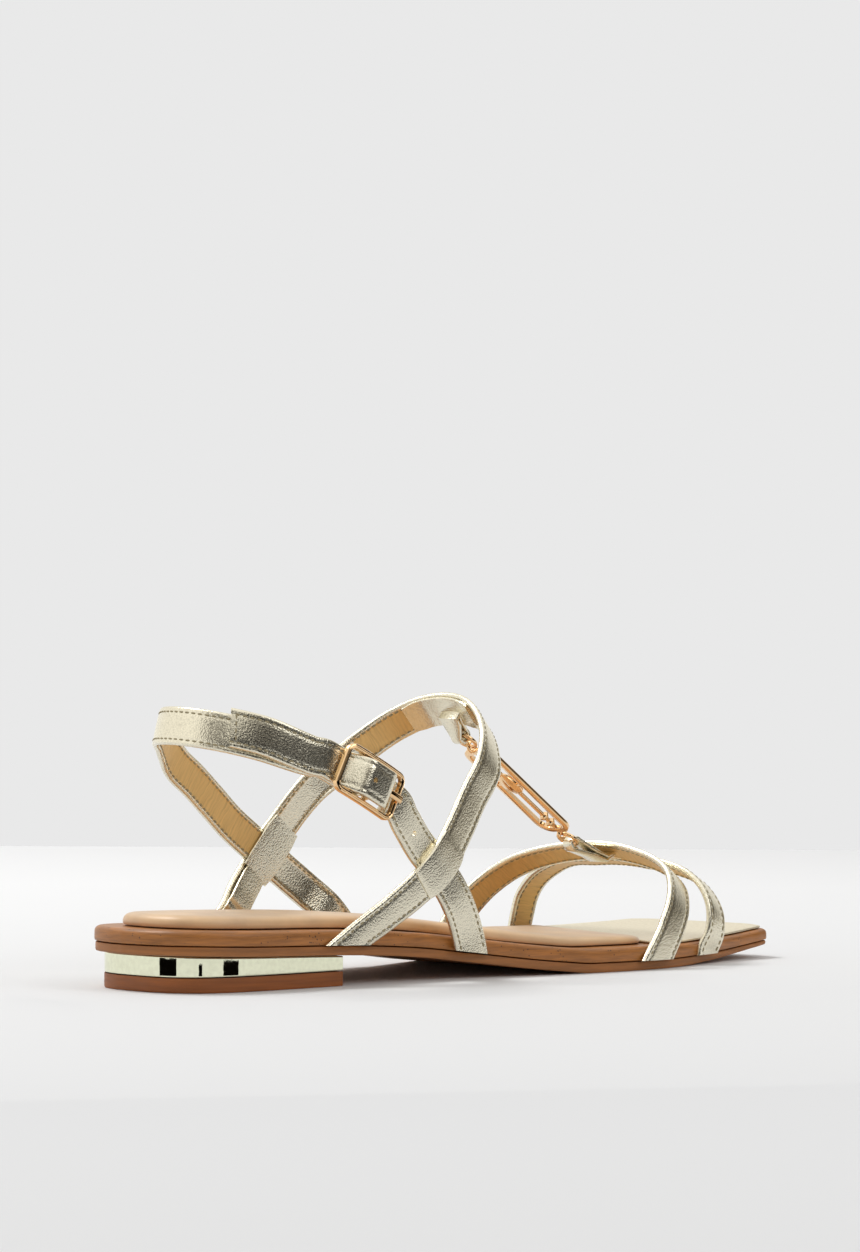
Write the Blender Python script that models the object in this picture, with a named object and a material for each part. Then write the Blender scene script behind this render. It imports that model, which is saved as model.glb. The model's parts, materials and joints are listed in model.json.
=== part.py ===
"""Right gladiator sandal with crossing ankle straps, a side buckle and a linked instep ornament.

The sole's own frame runs from the back of the heel (x = 0) to the toe, with the buckle side at -y,
the inner side at +y and the floor at z = 0. All sizes below are in millimetres, and every vertex is
scaled to metres. The finished sandal is moved so that the origin is the middle of the heel's foot.
"""
import math
from collections import namedtuple

import bmesh
import bpy
import numpy as np
from mathutils import Matrix, Vector

MM = 0.001
OBJECT_NAME = "gladiator_sandal"

# Driving sizes
LENGTH = 251.7
BALL_WIDTH = 84.0
HEEL_HEIGHT = 10.9
TOE_SPRING = 4.7
TOE_SLANT = 3.1
INSTEP_HEIGHT = 86.0
VAMP_HEIGHT = 36.0

# Sole layers
OUTSOLE_THICKNESS = 2.8
OUTSOLE_INSET = 0.3
OUTSOLE_EDGE = 0.6
MIDSOLE_HEIGHT = 4.3
MIDSOLE_EDGE = 1.5
PAD_HEIGHT = 3.8
PAD_INSET = 8.2
PAD_EDGE = 2.6
PAD_CROWN = 0.5
PAD_THINNING = 0.42
PAD_THINNING_START = 0.45
PAD_THINNING_RUN = 0.35
TOE_PANEL_THICKNESS = 0.7
TOE_PANEL_INSET = 2.0
PANEL_CORNER = 9.0

# Heel block
HEEL_INSET = 4.6
HEEL_BREAST = 63.5
HEEL_WIDTH = 52.0
TOP_LIFT_HEIGHT = 4.3

# Leather
STRAP_WIDTH = 11.4
STRAP_THICKNESS = 1.8
FOLD_THICKNESS = 0.9
TAB_WIDTH = 7.5
TAB_FOLD_WIDTH = 3.4
TAB_THICKNESS = 1.2
STRAP_SAG = 0.9

# Buckle
BUCKLE_LENGTH = 24.0
BUCKLE_BAR = 1.6
BUCKLE_THICKNESS = 1.8
BUCKLE_CORNER = 3.0
BUCKLE_SIDE_GAP = 0.4
STRAIGHT_BLEND = 0.5
CENTRE_BAR_RADIUS = 0.7
CENTRE_BAR_DROP = 0.3
PRONG_RADIUS = 0.55
PRONG_OVERHANG = 0.8

# Ornament
RING_RADIUS = 3.2
RING_WIRE = 0.65
EYELET_RADIUS = 1.6
EYELET_WIRE = 0.55
LINK_WIDTH = 13.6
LINK_RAIL = 2.4
LINK_THICKNESS = 1.6
LINK_CORNER = 5.0
SPINE_RADIUS = 0.7
BEAD_RADIUS = 1.5
BEAD_COUNT = 2
BOSS_LENGTH = 12.0
BOSS_WIDTH = 7.0
BOSS_THICKNESS = 3.4
BRIDGE_RADIUS = 0.8

# Gaps and mesh steps
CLEARANCE = 0.3
SIDE_STEPS = 2
CROSS_STEPS = 4
PAD_POINTS = 32
PANEL_POINTS = 22
STRAP_STEP = 4.2
BUCKLE_STEP = 1.1
RING_POINTS = 11

# Half widths of the sole as shares of the ball width, from the heel's back to the toe
PlanRow = namedtuple("PlanRow", "station lateral medial")
SOLE_PLAN = (
    PlanRow(0.000, 0.000, 0.000),
    PlanRow(0.003, 0.085, 0.085),
    PlanRow(0.014, 0.180, 0.182),
    PlanRow(0.034, 0.248, 0.250),
    PlanRow(0.065, 0.303, 0.306),
    PlanRow(0.120, 0.340, 0.343),
    PlanRow(0.200, 0.349, 0.346),
    PlanRow(0.300, 0.350, 0.322),
    PlanRow(0.400, 0.362, 0.304),
    PlanRow(0.500, 0.403, 0.340),
    PlanRow(0.600, 0.455, 0.422),
    PlanRow(0.680, 0.482, 0.488),
    PlanRow(0.740, 0.478, 0.513),
    PlanRow(0.800, 0.451, 0.512),
    PlanRow(0.860, 0.408, 0.488),
    PlanRow(0.920, 0.368, 0.440),
    PlanRow(0.960, 0.346, 0.398),
    PlanRow(0.984, 0.336, 0.372),
    PlanRow(0.995, 0.326, 0.352),
    PlanRow(1.001, 0.295, 0.310),
    PlanRow(1.004, 0.000, 0.000),
)

# Heel block outline: station along the block, half width as a share of half the heel's width
HeelRow = namedtuple("HeelRow", "station half")
HEEL_PLAN = (
    HeelRow(0.000, 0.00),
    HeelRow(0.008, 0.32),
    HeelRow(0.045, 0.58),
    HeelRow(0.130, 0.79),
    HeelRow(0.260, 0.91),
    HeelRow(0.450, 0.965),
    HeelRow(0.720, 0.99),
    HeelRow(1.000, 1.00),
)

# Side view of the sole: shares of heel height, toe spring, outsole thickness and midsole height
LineRow = namedtuple("LineRow", "station heel toe thickness rim")
SOLE_LINE = (
    LineRow(0.00, 1.00, 0.00, 0.96, 1.00),
    LineRow(0.12, 0.93, 0.00, 0.96, 1.00),
    LineRow(0.25, 0.84, 0.00, 0.96, 1.00),
    LineRow(0.36, 0.68, 0.00, 0.96, 1.00),
    LineRow(0.44, 0.47, 0.00, 0.96, 1.00),
    LineRow(0.52, 0.24, 0.00, 0.96, 1.00),
    LineRow(0.58, 0.09, 0.00, 0.98, 1.00),
    LineRow(0.63, 0.00, 0.00, 1.00, 1.00),
    LineRow(0.76, 0.00, 0.00, 0.95, 0.97),
    LineRow(0.86, 0.00, 0.20, 0.80, 0.92),
    LineRow(0.93, 0.00, 0.52, 0.62, 0.86),
    LineRow(1.01, 0.00, 1.00, 0.43, 0.80),
)

# Where the padded footbed ends, as shares of the length
PAD_FRONT_LATERAL = 0.745
PAD_FRONT_MEDIAL = 0.835

# Strap routes. station: share of the length; across: share of the ball width, negative on the buckle
# side, or LATERAL_RIM or MEDIAL_RIM where the strap lies on the sole's edge; rise: share of the strap
# group's height; width: share of the strap width; lift: share of the strap's thickness, outward.
LATERAL_RIM = "lateral rim"
MEDIAL_RIM = "medial rim"
StrapRow = namedtuple("StrapRow", "station across rise width lift")
INSTEP_ROUTE = (
    StrapRow(0.203, LATERAL_RIM, 0.075, 0.82, 0.0),
    StrapRow(0.262, LATERAL_RIM, 0.175, 0.82, 0.0),
    StrapRow(0.306, -0.376, 0.247, 0.86, 0.0),
    StrapRow(0.343, -0.388, 0.318, 0.93, 0.2),
    StrapRow(0.379, -0.393, 0.400, 1.00, 0.45),
    StrapRow(0.417, -0.374, 0.510, 1.00, 0.2),
    StrapRow(0.453, -0.350, 0.631, 1.00, 0.0),
    StrapRow(0.489, -0.322, 0.744, 1.03, 0.0),
    StrapRow(0.515, -0.238, 0.852, 1.02, 0.0),
    StrapRow(0.531, -0.130, 0.915, 1.01, 0.0),
    StrapRow(0.539, 0.000, 0.937, 1.00, 0.0),
    StrapRow(0.532, 0.125, 0.922, 1.00, 0.0),
    StrapRow(0.514, 0.224, 0.874, 1.00, 0.0),
    StrapRow(0.480, 0.303, 0.789, 1.00, 0.0),
    StrapRow(0.446, 0.325, 0.722, 1.00, 0.0),
    StrapRow(0.411, 0.331, 0.661, 1.00, 0.0),
    StrapRow(0.387, 0.349, 0.590, 1.00, 0.0),
    StrapRow(0.366, 0.363, 0.512, 1.00, 0.2),
    StrapRow(0.342, 0.371, 0.430, 1.02, 0.45),
    StrapRow(0.321, 0.369, 0.360, 1.00, 0.2),
    StrapRow(0.300, 0.367, 0.291, 1.00, 0.0),
    StrapRow(0.274, MEDIAL_RIM, 0.205, 1.00, 0.0),
    StrapRow(0.240, MEDIAL_RIM, 0.100, 1.00, 0.0),
)
ANKLE_ROUTE = (
    StrapRow(0.443, LATERAL_RIM, 0.035, 1.12, 0.0),
    StrapRow(0.434, LATERAL_RIM, 0.140, 1.10, 0.0),
    StrapRow(0.409, -0.398, 0.284, 1.06, -0.1),
    StrapRow(0.379, -0.393, 0.397, 1.02, -0.25),
    StrapRow(0.349, -0.383, 0.481, 1.00, -0.1),
    StrapRow(0.329, -0.378, 0.545, 1.00, 0.0),
    StrapRow(0.302, -0.370, 0.634, 1.00, 0.0),
    StrapRow(0.262, -0.359, 0.708, 1.00, 0.0),
    StrapRow(0.220, -0.349, 0.760, 1.00, 0.0),
    StrapRow(0.177, -0.325, 0.793, 1.00, 0.0),
    StrapRow(0.131, -0.265, 0.838, 1.00, 0.0),
    StrapRow(0.098, -0.172, 0.868, 1.00, 0.0),
    StrapRow(0.080, -0.062, 0.884, 1.00, 0.0),
    StrapRow(0.082, 0.052, 0.886, 1.00, 0.0),
    StrapRow(0.099, 0.143, 0.878, 1.00, 0.0),
    StrapRow(0.125, 0.215, 0.853, 1.00, 0.0),
    StrapRow(0.151, 0.276, 0.806, 1.00, 0.0),
    StrapRow(0.179, 0.315, 0.744, 1.00, 0.0),
    StrapRow(0.211, 0.336, 0.686, 1.00, 0.0),
    StrapRow(0.246, 0.351, 0.610, 1.00, 0.0),
    StrapRow(0.282, 0.364, 0.529, 1.00, 0.0),
    StrapRow(0.314, 0.370, 0.465, 1.00, -0.15),
    StrapRow(0.344, 0.371, 0.405, 1.00, -0.25),
    StrapRow(0.372, 0.369, 0.350, 1.00, -0.1),
    StrapRow(0.403, 0.357, 0.285, 1.00, 0.0),
    StrapRow(0.434, MEDIAL_RIM, 0.205, 1.00, 0.0),
    StrapRow(0.467, MEDIAL_RIM, 0.100, 1.00, 0.0),
    StrapRow(0.485, MEDIAL_RIM, 0.040, 1.00, 0.0),
)
REAR_VAMP_ROUTE = (
    StrapRow(0.711, LATERAL_RIM, -0.055, 1.00, 0.0),
    StrapRow(0.732, LATERAL_RIM, 0.125, 1.00, 0.0),
    StrapRow(0.757, -0.480, 0.333, 0.98, 0.0),
    StrapRow(0.782, -0.448, 0.550, 0.97, 0.0),
    StrapRow(0.802, -0.380, 0.735, 0.97, 0.0),
    StrapRow(0.813, -0.292, 0.832, 0.97, 0.0),
    StrapRow(0.815, -0.153, 0.912, 0.97, 0.2),
    StrapRow(0.812, 0.000, 0.948, 0.98, 0.3),
    StrapRow(0.802, 0.143, 0.936, 1.00, 0.2),
    StrapRow(0.790, 0.262, 0.892, 1.02, 0.0),
    StrapRow(0.776, 0.369, 0.800, 1.03, 0.0),
    StrapRow(0.762, 0.440, 0.680, 1.03, 0.0),
    StrapRow(0.742, 0.485, 0.525, 1.02, 0.0),
    StrapRow(0.719, 0.509, 0.333, 1.00, 0.0),
    StrapRow(0.699, MEDIAL_RIM, 0.140, 1.00, 0.0),
    StrapRow(0.683, MEDIAL_RIM, -0.030, 1.00, 0.0),
)
FRONT_VAMP_ROUTE = (
    StrapRow(0.834, LATERAL_RIM, -0.055, 0.86, 0.0),
    StrapRow(0.840, LATERAL_RIM, 0.111, 0.86, 0.0),
    StrapRow(0.848, -0.453, 0.278, 0.86, 0.0),
    StrapRow(0.854, -0.437, 0.472, 0.86, 0.0),
    StrapRow(0.857, -0.393, 0.619, 0.86, 0.0),
    StrapRow(0.857, -0.321, 0.744, 0.86, 0.0),
    StrapRow(0.853, -0.214, 0.833, 0.86, -0.2),
    StrapRow(0.844, -0.071, 0.886, 0.86, -0.4),
    StrapRow(0.839, 0.048, 0.890, 0.86, -0.4),
    StrapRow(0.837, 0.167, 0.869, 0.86, -0.3),
    StrapRow(0.837, 0.262, 0.839, 0.86, 0.0),
    StrapRow(0.838, 0.357, 0.767, 0.86, 0.0),
    StrapRow(0.838, 0.433, 0.658, 0.86, 0.0),
    StrapRow(0.838, 0.486, 0.514, 0.86, 0.0),
    StrapRow(0.836, 0.508, 0.333, 0.86, 0.0),
    StrapRow(0.832, MEDIAL_RIM, 0.139, 0.86, 0.0),
    StrapRow(0.828, MEDIAL_RIM, -0.055, 0.86, 0.0),
)
BUCKLE_ROW = 7
INSTEP_TOP_ROW = 10
VAMP_TOP_ROW = 7

# The inside of the foot that a strap faces: low and high shares of length, ball width and rise
Core = namedtuple("Core", "length width rise")
INSTEP_CORE = Core((0.238, 0.488), (0.0, 0.0), (0.10, 0.81))
ANKLE_CORE = Core((0.179, 0.437), (0.0, 0.0), (0.02, 0.810))
REAR_VAMP_CORE = Core((0.596, 0.755), (-0.10, 0.10), (0.0, 0.28))
FRONT_VAMP_CORE = Core((0.596, 0.829), (-0.10, 0.10), (0.0, 0.62))

# Where the straps' tail ends behind the buckle, and the ornament's two ends (length and rise shares)
TAIL_LENGTH = 46.0
TAIL_SLANT = 3.5
TAIL_RISE = 1.6
ORNAMENT_TOP = (0.5490, 0.838)
ORNAMENT_FOOT = (0.7520, 0.430)

# Colours, metallic and roughness of the plain finishes
FINISHES = {
    "gold_leather": ("#C9C1A9", 0.35, 0.42),
    "pad_leather": ("#C99468", 0.0, 0.38),
    "rim_leather": ("#AE7646", 0.0, 0.48),
    "outsole_rubber": ("#9A6238", 0.0, 0.60),
    "lift_rubber": ("#8A5232", 0.0, 0.55),
    "toe_panel": ("#D8CDB0", 0.3, 0.40),
    "pale_gold": ("#E3DEC2", 1.0, 0.08),
    "rose_gold": ("#D8A878", 1.0, 0.15),
}

Frame = namedtuple("Frame", "point along outward side width lift distance")
Station = namedtuple("Station", "point side width thickness")


def smooth(rows, steps):
    """Curve through the rows, with slopes weighted by the distance between neighbours."""
    rows = np.asarray(rows, dtype=float)
    spans = np.linalg.norm(np.diff(rows[:, :3], axis=0), axis=1)
    slopes = np.diff(rows, axis=0) / spans[:, None]
    inner = slopes[:-1] * spans[1:, None] + slopes[1:] * spans[:-1, None]
    inner = inner / (spans[:-1] + spans[1:])[:, None]
    tangents = np.vstack((slopes[:1], inner, slopes[-1:]))
    points = []
    for index, span in enumerate(spans):
        for t in np.arange(steps) / steps:
            start = (2 * t**3 - 3 * t**2 + 1) * rows[index]
            start = start + (t**3 - 2 * t**2 + t) * span * tangents[index]
            end = (3 * t**2 - 2 * t**3) * rows[index + 1]
            end = end + (t**3 - t**2) * span * tangents[index + 1]
            points.append(start + end)
    points.append(rows[-1])
    return np.array(points)


def table_value(rows, column, station):
    """A table's column at a station, on a curve that never overshoots its rows."""
    stations = [row.station for row in rows]
    values = [getattr(row, column) for row in rows]
    slopes = np.diff(values) / np.diff(stations)
    tangents = [0.0] + [0.0 if a * b <= 0 else 2 * a * b / (a + b) for a, b in zip(slopes, slopes[1:])]
    tangents.append(slopes[-1])
    index = int(np.clip(np.searchsorted(stations, station) - 1, 0, len(slopes) - 1))
    span = stations[index + 1] - stations[index]
    t = min(max((station - stations[index]) / span, 0.0), 1.0)
    start = (2 * t**3 - 3 * t**2 + 1) * values[index] + (t**3 - 2 * t**2 + t) * span * tangents[index]
    end = (3 * t**2 - 2 * t**3) * values[index + 1] + (t**3 - t**2) * span * tangents[index + 1]
    return start + end


def ease(value):
    """Smooth step from 0 to 1."""
    value = min(max(value, 0.0), 1.0)
    return value * value * (3 - 2 * value)


def outsole_bottom(x):
    station = x / LENGTH
    heel = HEEL_HEIGHT * table_value(SOLE_LINE, "heel", station)
    return heel + TOE_SPRING * table_value(SOLE_LINE, "toe", station)


def seam_height(x):
    return outsole_bottom(x) + OUTSOLE_THICKNESS * table_value(SOLE_LINE, "thickness", x / LENGTH)


def rim_top(x):
    return seam_height(x) + CLEARANCE + MIDSOLE_HEIGHT * table_value(SOLE_LINE, "rim", x / LENGTH)


def sole_plan():
    """Both sides of the sole's outline, from the middle of the heel to the middle of the toe."""
    sides = []
    for column, direction in (("lateral", -1), ("medial", 1)):
        rows = []
        for row in SOLE_PLAN:
            half = getattr(row, column) * BALL_WIDTH
            slant = TOE_SLANT * ease((row.station - 0.88) / 0.12) * half / (BALL_WIDTH / 2) * (direction + 1) / 2
            rows.append((row.station * LENGTH - slant, direction * half, 0.0))
        sides.append(smooth(rows, SIDE_STEPS)[:, :2])
    return sides


def loop_of(plan):
    """One closed loop from the two sides, which share their first and last points."""
    lateral, medial = plan
    return np.vstack((lateral, medial[-2:0:-1]))


def inset_plan(plan, inset):
    """The outline moved inward by an inset, or outward where the inset is negative."""
    loop = loop_of(plan)
    run = np.roll(loop, -1, axis=0) - np.roll(loop, 1, axis=0)
    run = run / np.linalg.norm(run, axis=1)[:, None]
    loop = loop + inset * np.column_stack((-run[:, 1], run[:, 0]))
    count = len(plan[0])
    lateral = loop[:count]
    medial = np.vstack((loop[:1], loop[:count - 2:-1]))
    return lateral, medial


def edge_across(x, side):
    """The y of the sole's edge at x, on the lateral or the medial side."""
    line = sole_plan()[0 if side == LATERAL_RIM else 1]
    front = int(np.argmax(line[:, 0]))
    return float(np.interp(x, line[:front + 1, 0], line[:front + 1, 1]))


def resample(points, count):
    """The same line with evenly spaced points."""
    points = np.asarray(points)
    lengths = np.concatenate(([0.0], np.cumsum(np.linalg.norm(np.diff(points, axis=0), axis=1))))
    places = np.linspace(0.0, lengths[-1], count)
    return np.column_stack([np.interp(places, lengths, points[:, axis]) for axis in range(2)])


def rounded_corner(before, corner, after, radius, steps=6):
    """Points of a soft corner between two straight runs."""
    start = corner + (before - corner) * radius / np.linalg.norm(before - corner)
    end = corner + (after - corner) * radius / np.linalg.norm(after - corner)
    times = np.linspace(0.0, 1.0, steps)[:, None]
    return (1 - times)**2 * start + 2 * times * (1 - times) * corner + times**2 * end


def split_plan(inset, keep_rear, count):
    """Outline of the insole behind or in front of the ball line, with rounded corners on that line."""
    ends = [np.array((share * LENGTH, edge_across(share * LENGTH, side))) for share, side in
            ((PAD_FRONT_LATERAL, LATERAL_RIM), (PAD_FRONT_MEDIAL, MEDIAL_RIM))]
    across = (ends[1] - ends[0]) / np.linalg.norm(ends[1] - ends[0])
    forward = np.array((across[1], -across[0]))
    direction = -1 if keep_rear else 1
    gap = direction * CLEARANCE / 2
    sides = inset_plan(sole_plan(), inset)
    corners = []
    for side in sides:
        ahead = (side - ends[0]) @ forward
        front = int(np.argmax(ahead))
        corners.append(np.array([np.interp(gap, ahead[:front + 1], side[:front + 1, axis]) for axis in range(2)]))
    middle = (corners[0] + corners[1]) / 2
    plan = []
    for side, corner in zip(sides, corners):
        beyond = ((side - ends[0]) @ forward - gap) * direction
        front = int(np.argmax(beyond > PANEL_CORNER))
        run = side[beyond > PANEL_CORNER] if keep_rear else side[front:]
        if keep_rear:
            line = np.vstack((run, rounded_corner(run[-1], corner, middle, PANEL_CORNER), middle))
        else:
            line = np.vstack((middle, rounded_corner(middle, corner, run[0], PANEL_CORNER), run))
        plan.append(resample(line, count))
    return plan


def heel_plan():
    """The D-shaped outline of the heel block, with a straight breast."""
    block = HEEL_BREAST - HEEL_INSET
    sides = []
    for direction in (-1, 1):
        rows = [(HEEL_INSET + row.station * block, direction * row.half * HEEL_WIDTH / 2, 0.0)
                for row in HEEL_PLAN]
        side = smooth(rows, SIDE_STEPS)[:, :2]
        sides.append(np.vstack((side, (HEEL_BREAST, 0.0))))
    return sides


def add_quads(mesh, low, high, closed=True):
    """Faces between two rows of vertices of the same length."""
    count = len(low)
    for index in range(count if closed else count - 1):
        after = (index + 1) % count
        mesh.faces.new((low[index], low[after], high[after], high[index]))


def add_cap(mesh, ring, height, crown):
    """Close a layer with a grid whose rows run across the shoe."""
    half = len(ring) // 2
    rows = [[ring[0]]]
    for index in range(1, half):
        start, end = ring[index], ring[-index]
        row = [start]
        for share in np.arange(1, CROSS_STEPS) / CROSS_STEPS:
            spot = start.co.lerp(end.co, share) / MM
            spot.z = height(spot.x) + crown * 4 * share * (1 - share)
            row.append(mesh.verts.new(spot * MM))
        rows.append(row + [end])
    rows.append([ring[half]])
    for low, high in zip(rows, rows[1:]):
        if len(low) == 1:
            for one, other in zip(high, high[1:]):
                mesh.faces.new((low[0], one, other))
        elif len(high) == 1:
            for one, other in zip(low, low[1:]):
                mesh.faces.new((one, high[0], other))
        else:
            add_quads(mesh, low, high, closed=False)


def layer_mesh(name, plan, profile, crown=0.0):
    """A closed layer of the sole. The profile lists an inset and a height function for each ring."""
    mesh = bmesh.new()
    rings = []
    for inset, height in profile:
        loop = loop_of(inset_plan(plan, inset))
        rings.append([mesh.verts.new(Vector((x, y, height(x))) * MM) for x, y in loop])
    for low, high in zip(rings, rings[1:]):
        add_quads(mesh, low, high)
    add_cap(mesh, rings[0], profile[0][1], 0.0)
    add_cap(mesh, rings[-1], profile[-1][1], crown)
    return finish_mesh(mesh, name)


def finish_mesh(mesh, name):
    bmesh.ops.recalc_face_normals(mesh, faces=mesh.faces)
    data = bpy.data.meshes.new(name)
    mesh.to_mesh(data)
    mesh.free()
    data.shade_smooth()
    data.set_sharp_from_angle(angle=math.radians(35))
    return data


def raised(base, height):
    """A height function a fixed distance above another."""
    return lambda x: base(x) + height


def level(height):
    """A flat height function."""
    return lambda x: height


def strap_frames(route, core, height):
    """Frames along a strap's route: its point, direction, outward side and width at even steps."""
    places = []
    for row in route:
        x = row.station * LENGTH
        if row.across in (LATERAL_RIM, MEDIAL_RIM):
            edge = edge_across(x, row.across)
            y = edge + math.copysign(CLEARANCE + STRAP_THICKNESS / 2, edge)
        else:
            y = row.across * BALL_WIDTH
        places.append((x, y, row.rise * height, row.width * STRAP_WIDTH, row.lift * STRAP_THICKNESS))
    line = smooth(places, 12)
    lengths = np.concatenate(([0.0], np.cumsum(np.linalg.norm(np.diff(line[:, :3], axis=0), axis=1))))
    low = np.array((core.length[0] * LENGTH, core.width[0] * BALL_WIDTH, core.rise[0] * height))
    high = np.array((core.length[1] * LENGTH, core.width[1] * BALL_WIDTH, core.rise[1] * height))
    frames = []
    for index, place in enumerate(line):
        ahead = line[min(index + 1, len(line) - 1), :3]
        behind = line[max(index - 1, 0), :3]
        along = Vector(ahead - behind).normalized()
        outward = Vector(place[:3] - np.clip(place[:3], low, high))
        outward = (outward - along * outward.dot(along)).normalized()
        side = outward.cross(along)
        frames.append(Frame(Vector(place[:3]), along, outward, side, place[3], place[4], lengths[index]))
    return frames


def frame_at(frames, distance):
    """The frame at a distance along the strap."""
    lengths = [frame.distance for frame in frames]
    index = int(np.clip(np.searchsorted(lengths, distance) - 1, 0, len(frames) - 2))
    low, high = frames[index], frames[index + 1]
    share = min(max((distance - low.distance) / (high.distance - low.distance), 0.0), 1.0)
    return Frame(low.point.lerp(high.point, share), low.along.lerp(high.along, share).normalized(),
                 low.outward.lerp(high.outward, share).normalized(),
                 low.side.lerp(high.side, share).normalized(),
                 low.width + (high.width - low.width) * share,
                 low.lift + (high.lift - low.lift) * share, distance)


def straightened(frames, centre, half):
    """The same strap with a straight run of twice `half` around a distance, for the buckle."""
    start, end = frame_at(frames, centre - half), frame_at(frames, centre + half)
    along = (end.point - start.point).normalized()
    outward = frame_at(frames, centre).outward
    outward = (outward - along * outward.dot(along)).normalized()
    seat = Frame((start.point + end.point) / 2, along, outward, outward.cross(along), 0.0, 0.0, centre)
    result = []
    for frame in frames:
        offset = frame.distance - centre
        share = 1.0 - ease((abs(offset) - half) / (half * STRAIGHT_BLEND))
        straight = seat.point + seat.along * offset
        result.append(Frame(frame.point.lerp(straight, share),
                            frame.along.lerp(seat.along, share).normalized(),
                            frame.outward.lerp(seat.outward, share).normalized(),
                            frame.side.lerp(seat.side, share).normalized(),
                            frame.width, frame.lift, frame.distance))
    return result


def strap_station(frames, distance, offset, thickness, shift=0.0):
    """One section of a strap, moved outward from its route by its lift and an offset, and sideways."""
    frame = frame_at(frames, distance)
    point = frame.point + frame.outward * (frame.lift + offset) + frame.side * shift
    return Station(point, frame.side, frame.width, thickness)


def strap_mesh(name, stations):
    """Loft a strap's rounded section through its stations."""
    mesh = bmesh.new()
    rings = []
    for index, station in enumerate(stations):
        ahead = stations[min(index + 1, len(stations) - 1)].point
        behind = stations[max(index - 1, 0)].point
        along = (ahead - behind).normalized()
        side = (station.side - along * station.side.dot(along)).normalized()
        outward = along.cross(side)
        half_width, half_depth = station.width / 2, station.thickness / 2
        round_off = half_depth * 0.6
        outline = ((half_width, half_depth - round_off), (half_width - round_off, half_depth),
                   (round_off - half_width, half_depth), (-half_width, half_depth - round_off),
                   (-half_width, round_off - half_depth), (round_off - half_width, -half_depth),
                   (half_width - round_off, -half_depth), (half_width, round_off - half_depth))
        rings.append([mesh.verts.new((station.point + side * a + outward * b) * MM) for a, b in outline])
    for low, high in zip(rings, rings[1:]):
        add_quads(mesh, low, high)
    mesh.faces.new(rings[0])
    mesh.faces.new(rings[-1])
    return finish_mesh(mesh, name)


def even_distances(start, end, step):
    count = max(2, int(round((end - start) / step)) + 1)
    return list(np.linspace(start, end, count))


def make_material(name):
    colour, metallic, roughness = FINISHES[name]
    material = bpy.data.materials.new(name)
    material.use_nodes = True
    shader = material.node_tree.nodes["Principled BSDF"]
    channels = [int(colour[place:place + 2], 16) / 255 for place in (1, 3, 5)]
    linear = [value / 12.92 if value <= 0.04045 else ((value + 0.055) / 1.055)**2.4 for value in channels]
    shader.inputs["Base Color"].default_value = (*linear, 1.0)
    shader.inputs["Metallic"].default_value = metallic
    shader.inputs["Roughness"].default_value = roughness
    return material


class Workshop:
    """Holds the collections, the shared parent and the materials while the pieces are made."""

    def __init__(self):
        for item in list(bpy.data.objects):
            bpy.data.objects.remove(item, do_unlink=True)
        self.parts = bpy.data.collections.new(OBJECT_NAME)
        self.guides = bpy.data.collections.new("cutters_and_unions")
        bpy.context.scene.collection.children.link(self.parts)
        bpy.context.scene.collection.children.link(self.guides)
        self.origin = bpy.data.objects.new("sandal_origin", None)
        self.origin.location = (-heel_middle() * MM, 0.0, 0.0)
        self.parts.objects.link(self.origin)
        self.materials = {name: make_material(name) for name in FINISHES}

    def piece(self, name, data, finish, placing=None):
        data.materials.clear()
        data.materials.append(self.materials[finish])
        item = bpy.data.objects.new(name, data)
        self.parts.objects.link(item)
        self.place(item, placing)
        return item

    def guide(self, name, data, placing=None):
        item = bpy.data.objects.new(name, data)
        self.guides.objects.link(item)
        item.hide_render = True
        item.display_type = "WIRE"
        self.place(item, placing)
        return item

    def place(self, item, placing):
        item.parent = self.origin
        if placing is not None:
            item.location = placing.to_translation()
            item.rotation_euler = placing.to_euler()

    def combine(self, item, other, operation):
        modifier = item.modifiers.new(f"{operation.lower()} {other.name}", "BOOLEAN")
        modifier.operation = operation
        modifier.solver = "EXACT"
        modifier.object = other


def heel_middle():
    return (HEEL_INSET + HEEL_BREAST) / 2


def build_sole(shop):
    plan = sole_plan()
    outsole = layer_mesh("outsole", inset_plan(plan, OUTSOLE_INSET), (
        (OUTSOLE_EDGE, outsole_bottom),
        (0.0, raised(outsole_bottom, OUTSOLE_EDGE)),
        (0.0, seam_height)))
    shop.piece("outsole", outsole, "outsole_rubber")
    bottom = ((0.0, raised(seam_height, CLEARANCE)),)
    midsole = layer_mesh("midsole", plan, bottom + rim_edge(0.0))
    shop.piece("midsole", midsole, "rim_leather")
    build_pad(shop)
    base = raised(rim_top, CLEARANCE)
    panel = layer_mesh("toe_insole", split_plan(TOE_PANEL_INSET, False, PANEL_POINTS), (
        (0.0, base),
        (0.0, raised(base, TOE_PANEL_THICKNESS / 2)),
        (TOE_PANEL_THICKNESS / 2, raised(base, TOE_PANEL_THICKNESS))))
    shop.piece("toe_insole", panel, "toe_panel")


def build_pad(shop):
    """The padded footbed, thinner towards the ball, with a pillow edge."""
    base = raised(rim_top, CLEARANCE)

    def pad_height(share):
        def height(x):
            thinning = 1.0 - PAD_THINNING * ease((x / LENGTH - PAD_THINNING_START) / PAD_THINNING_RUN)
            return base(x) + share * PAD_HEIGHT * thinning
        return height

    pad = layer_mesh("insole_pad", split_plan(PAD_INSET, True, PAD_POINTS), (
        (PAD_EDGE * 0.1, base),
        (0.0, pad_height(0.28)),
        (PAD_EDGE * 0.12, pad_height(0.58)),
        (PAD_EDGE * 0.45, pad_height(0.84)),
        (PAD_EDGE, pad_height(1.0))), crown=PAD_CROWN)
    shop.piece("insole_pad", pad, "pad_leather")


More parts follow.
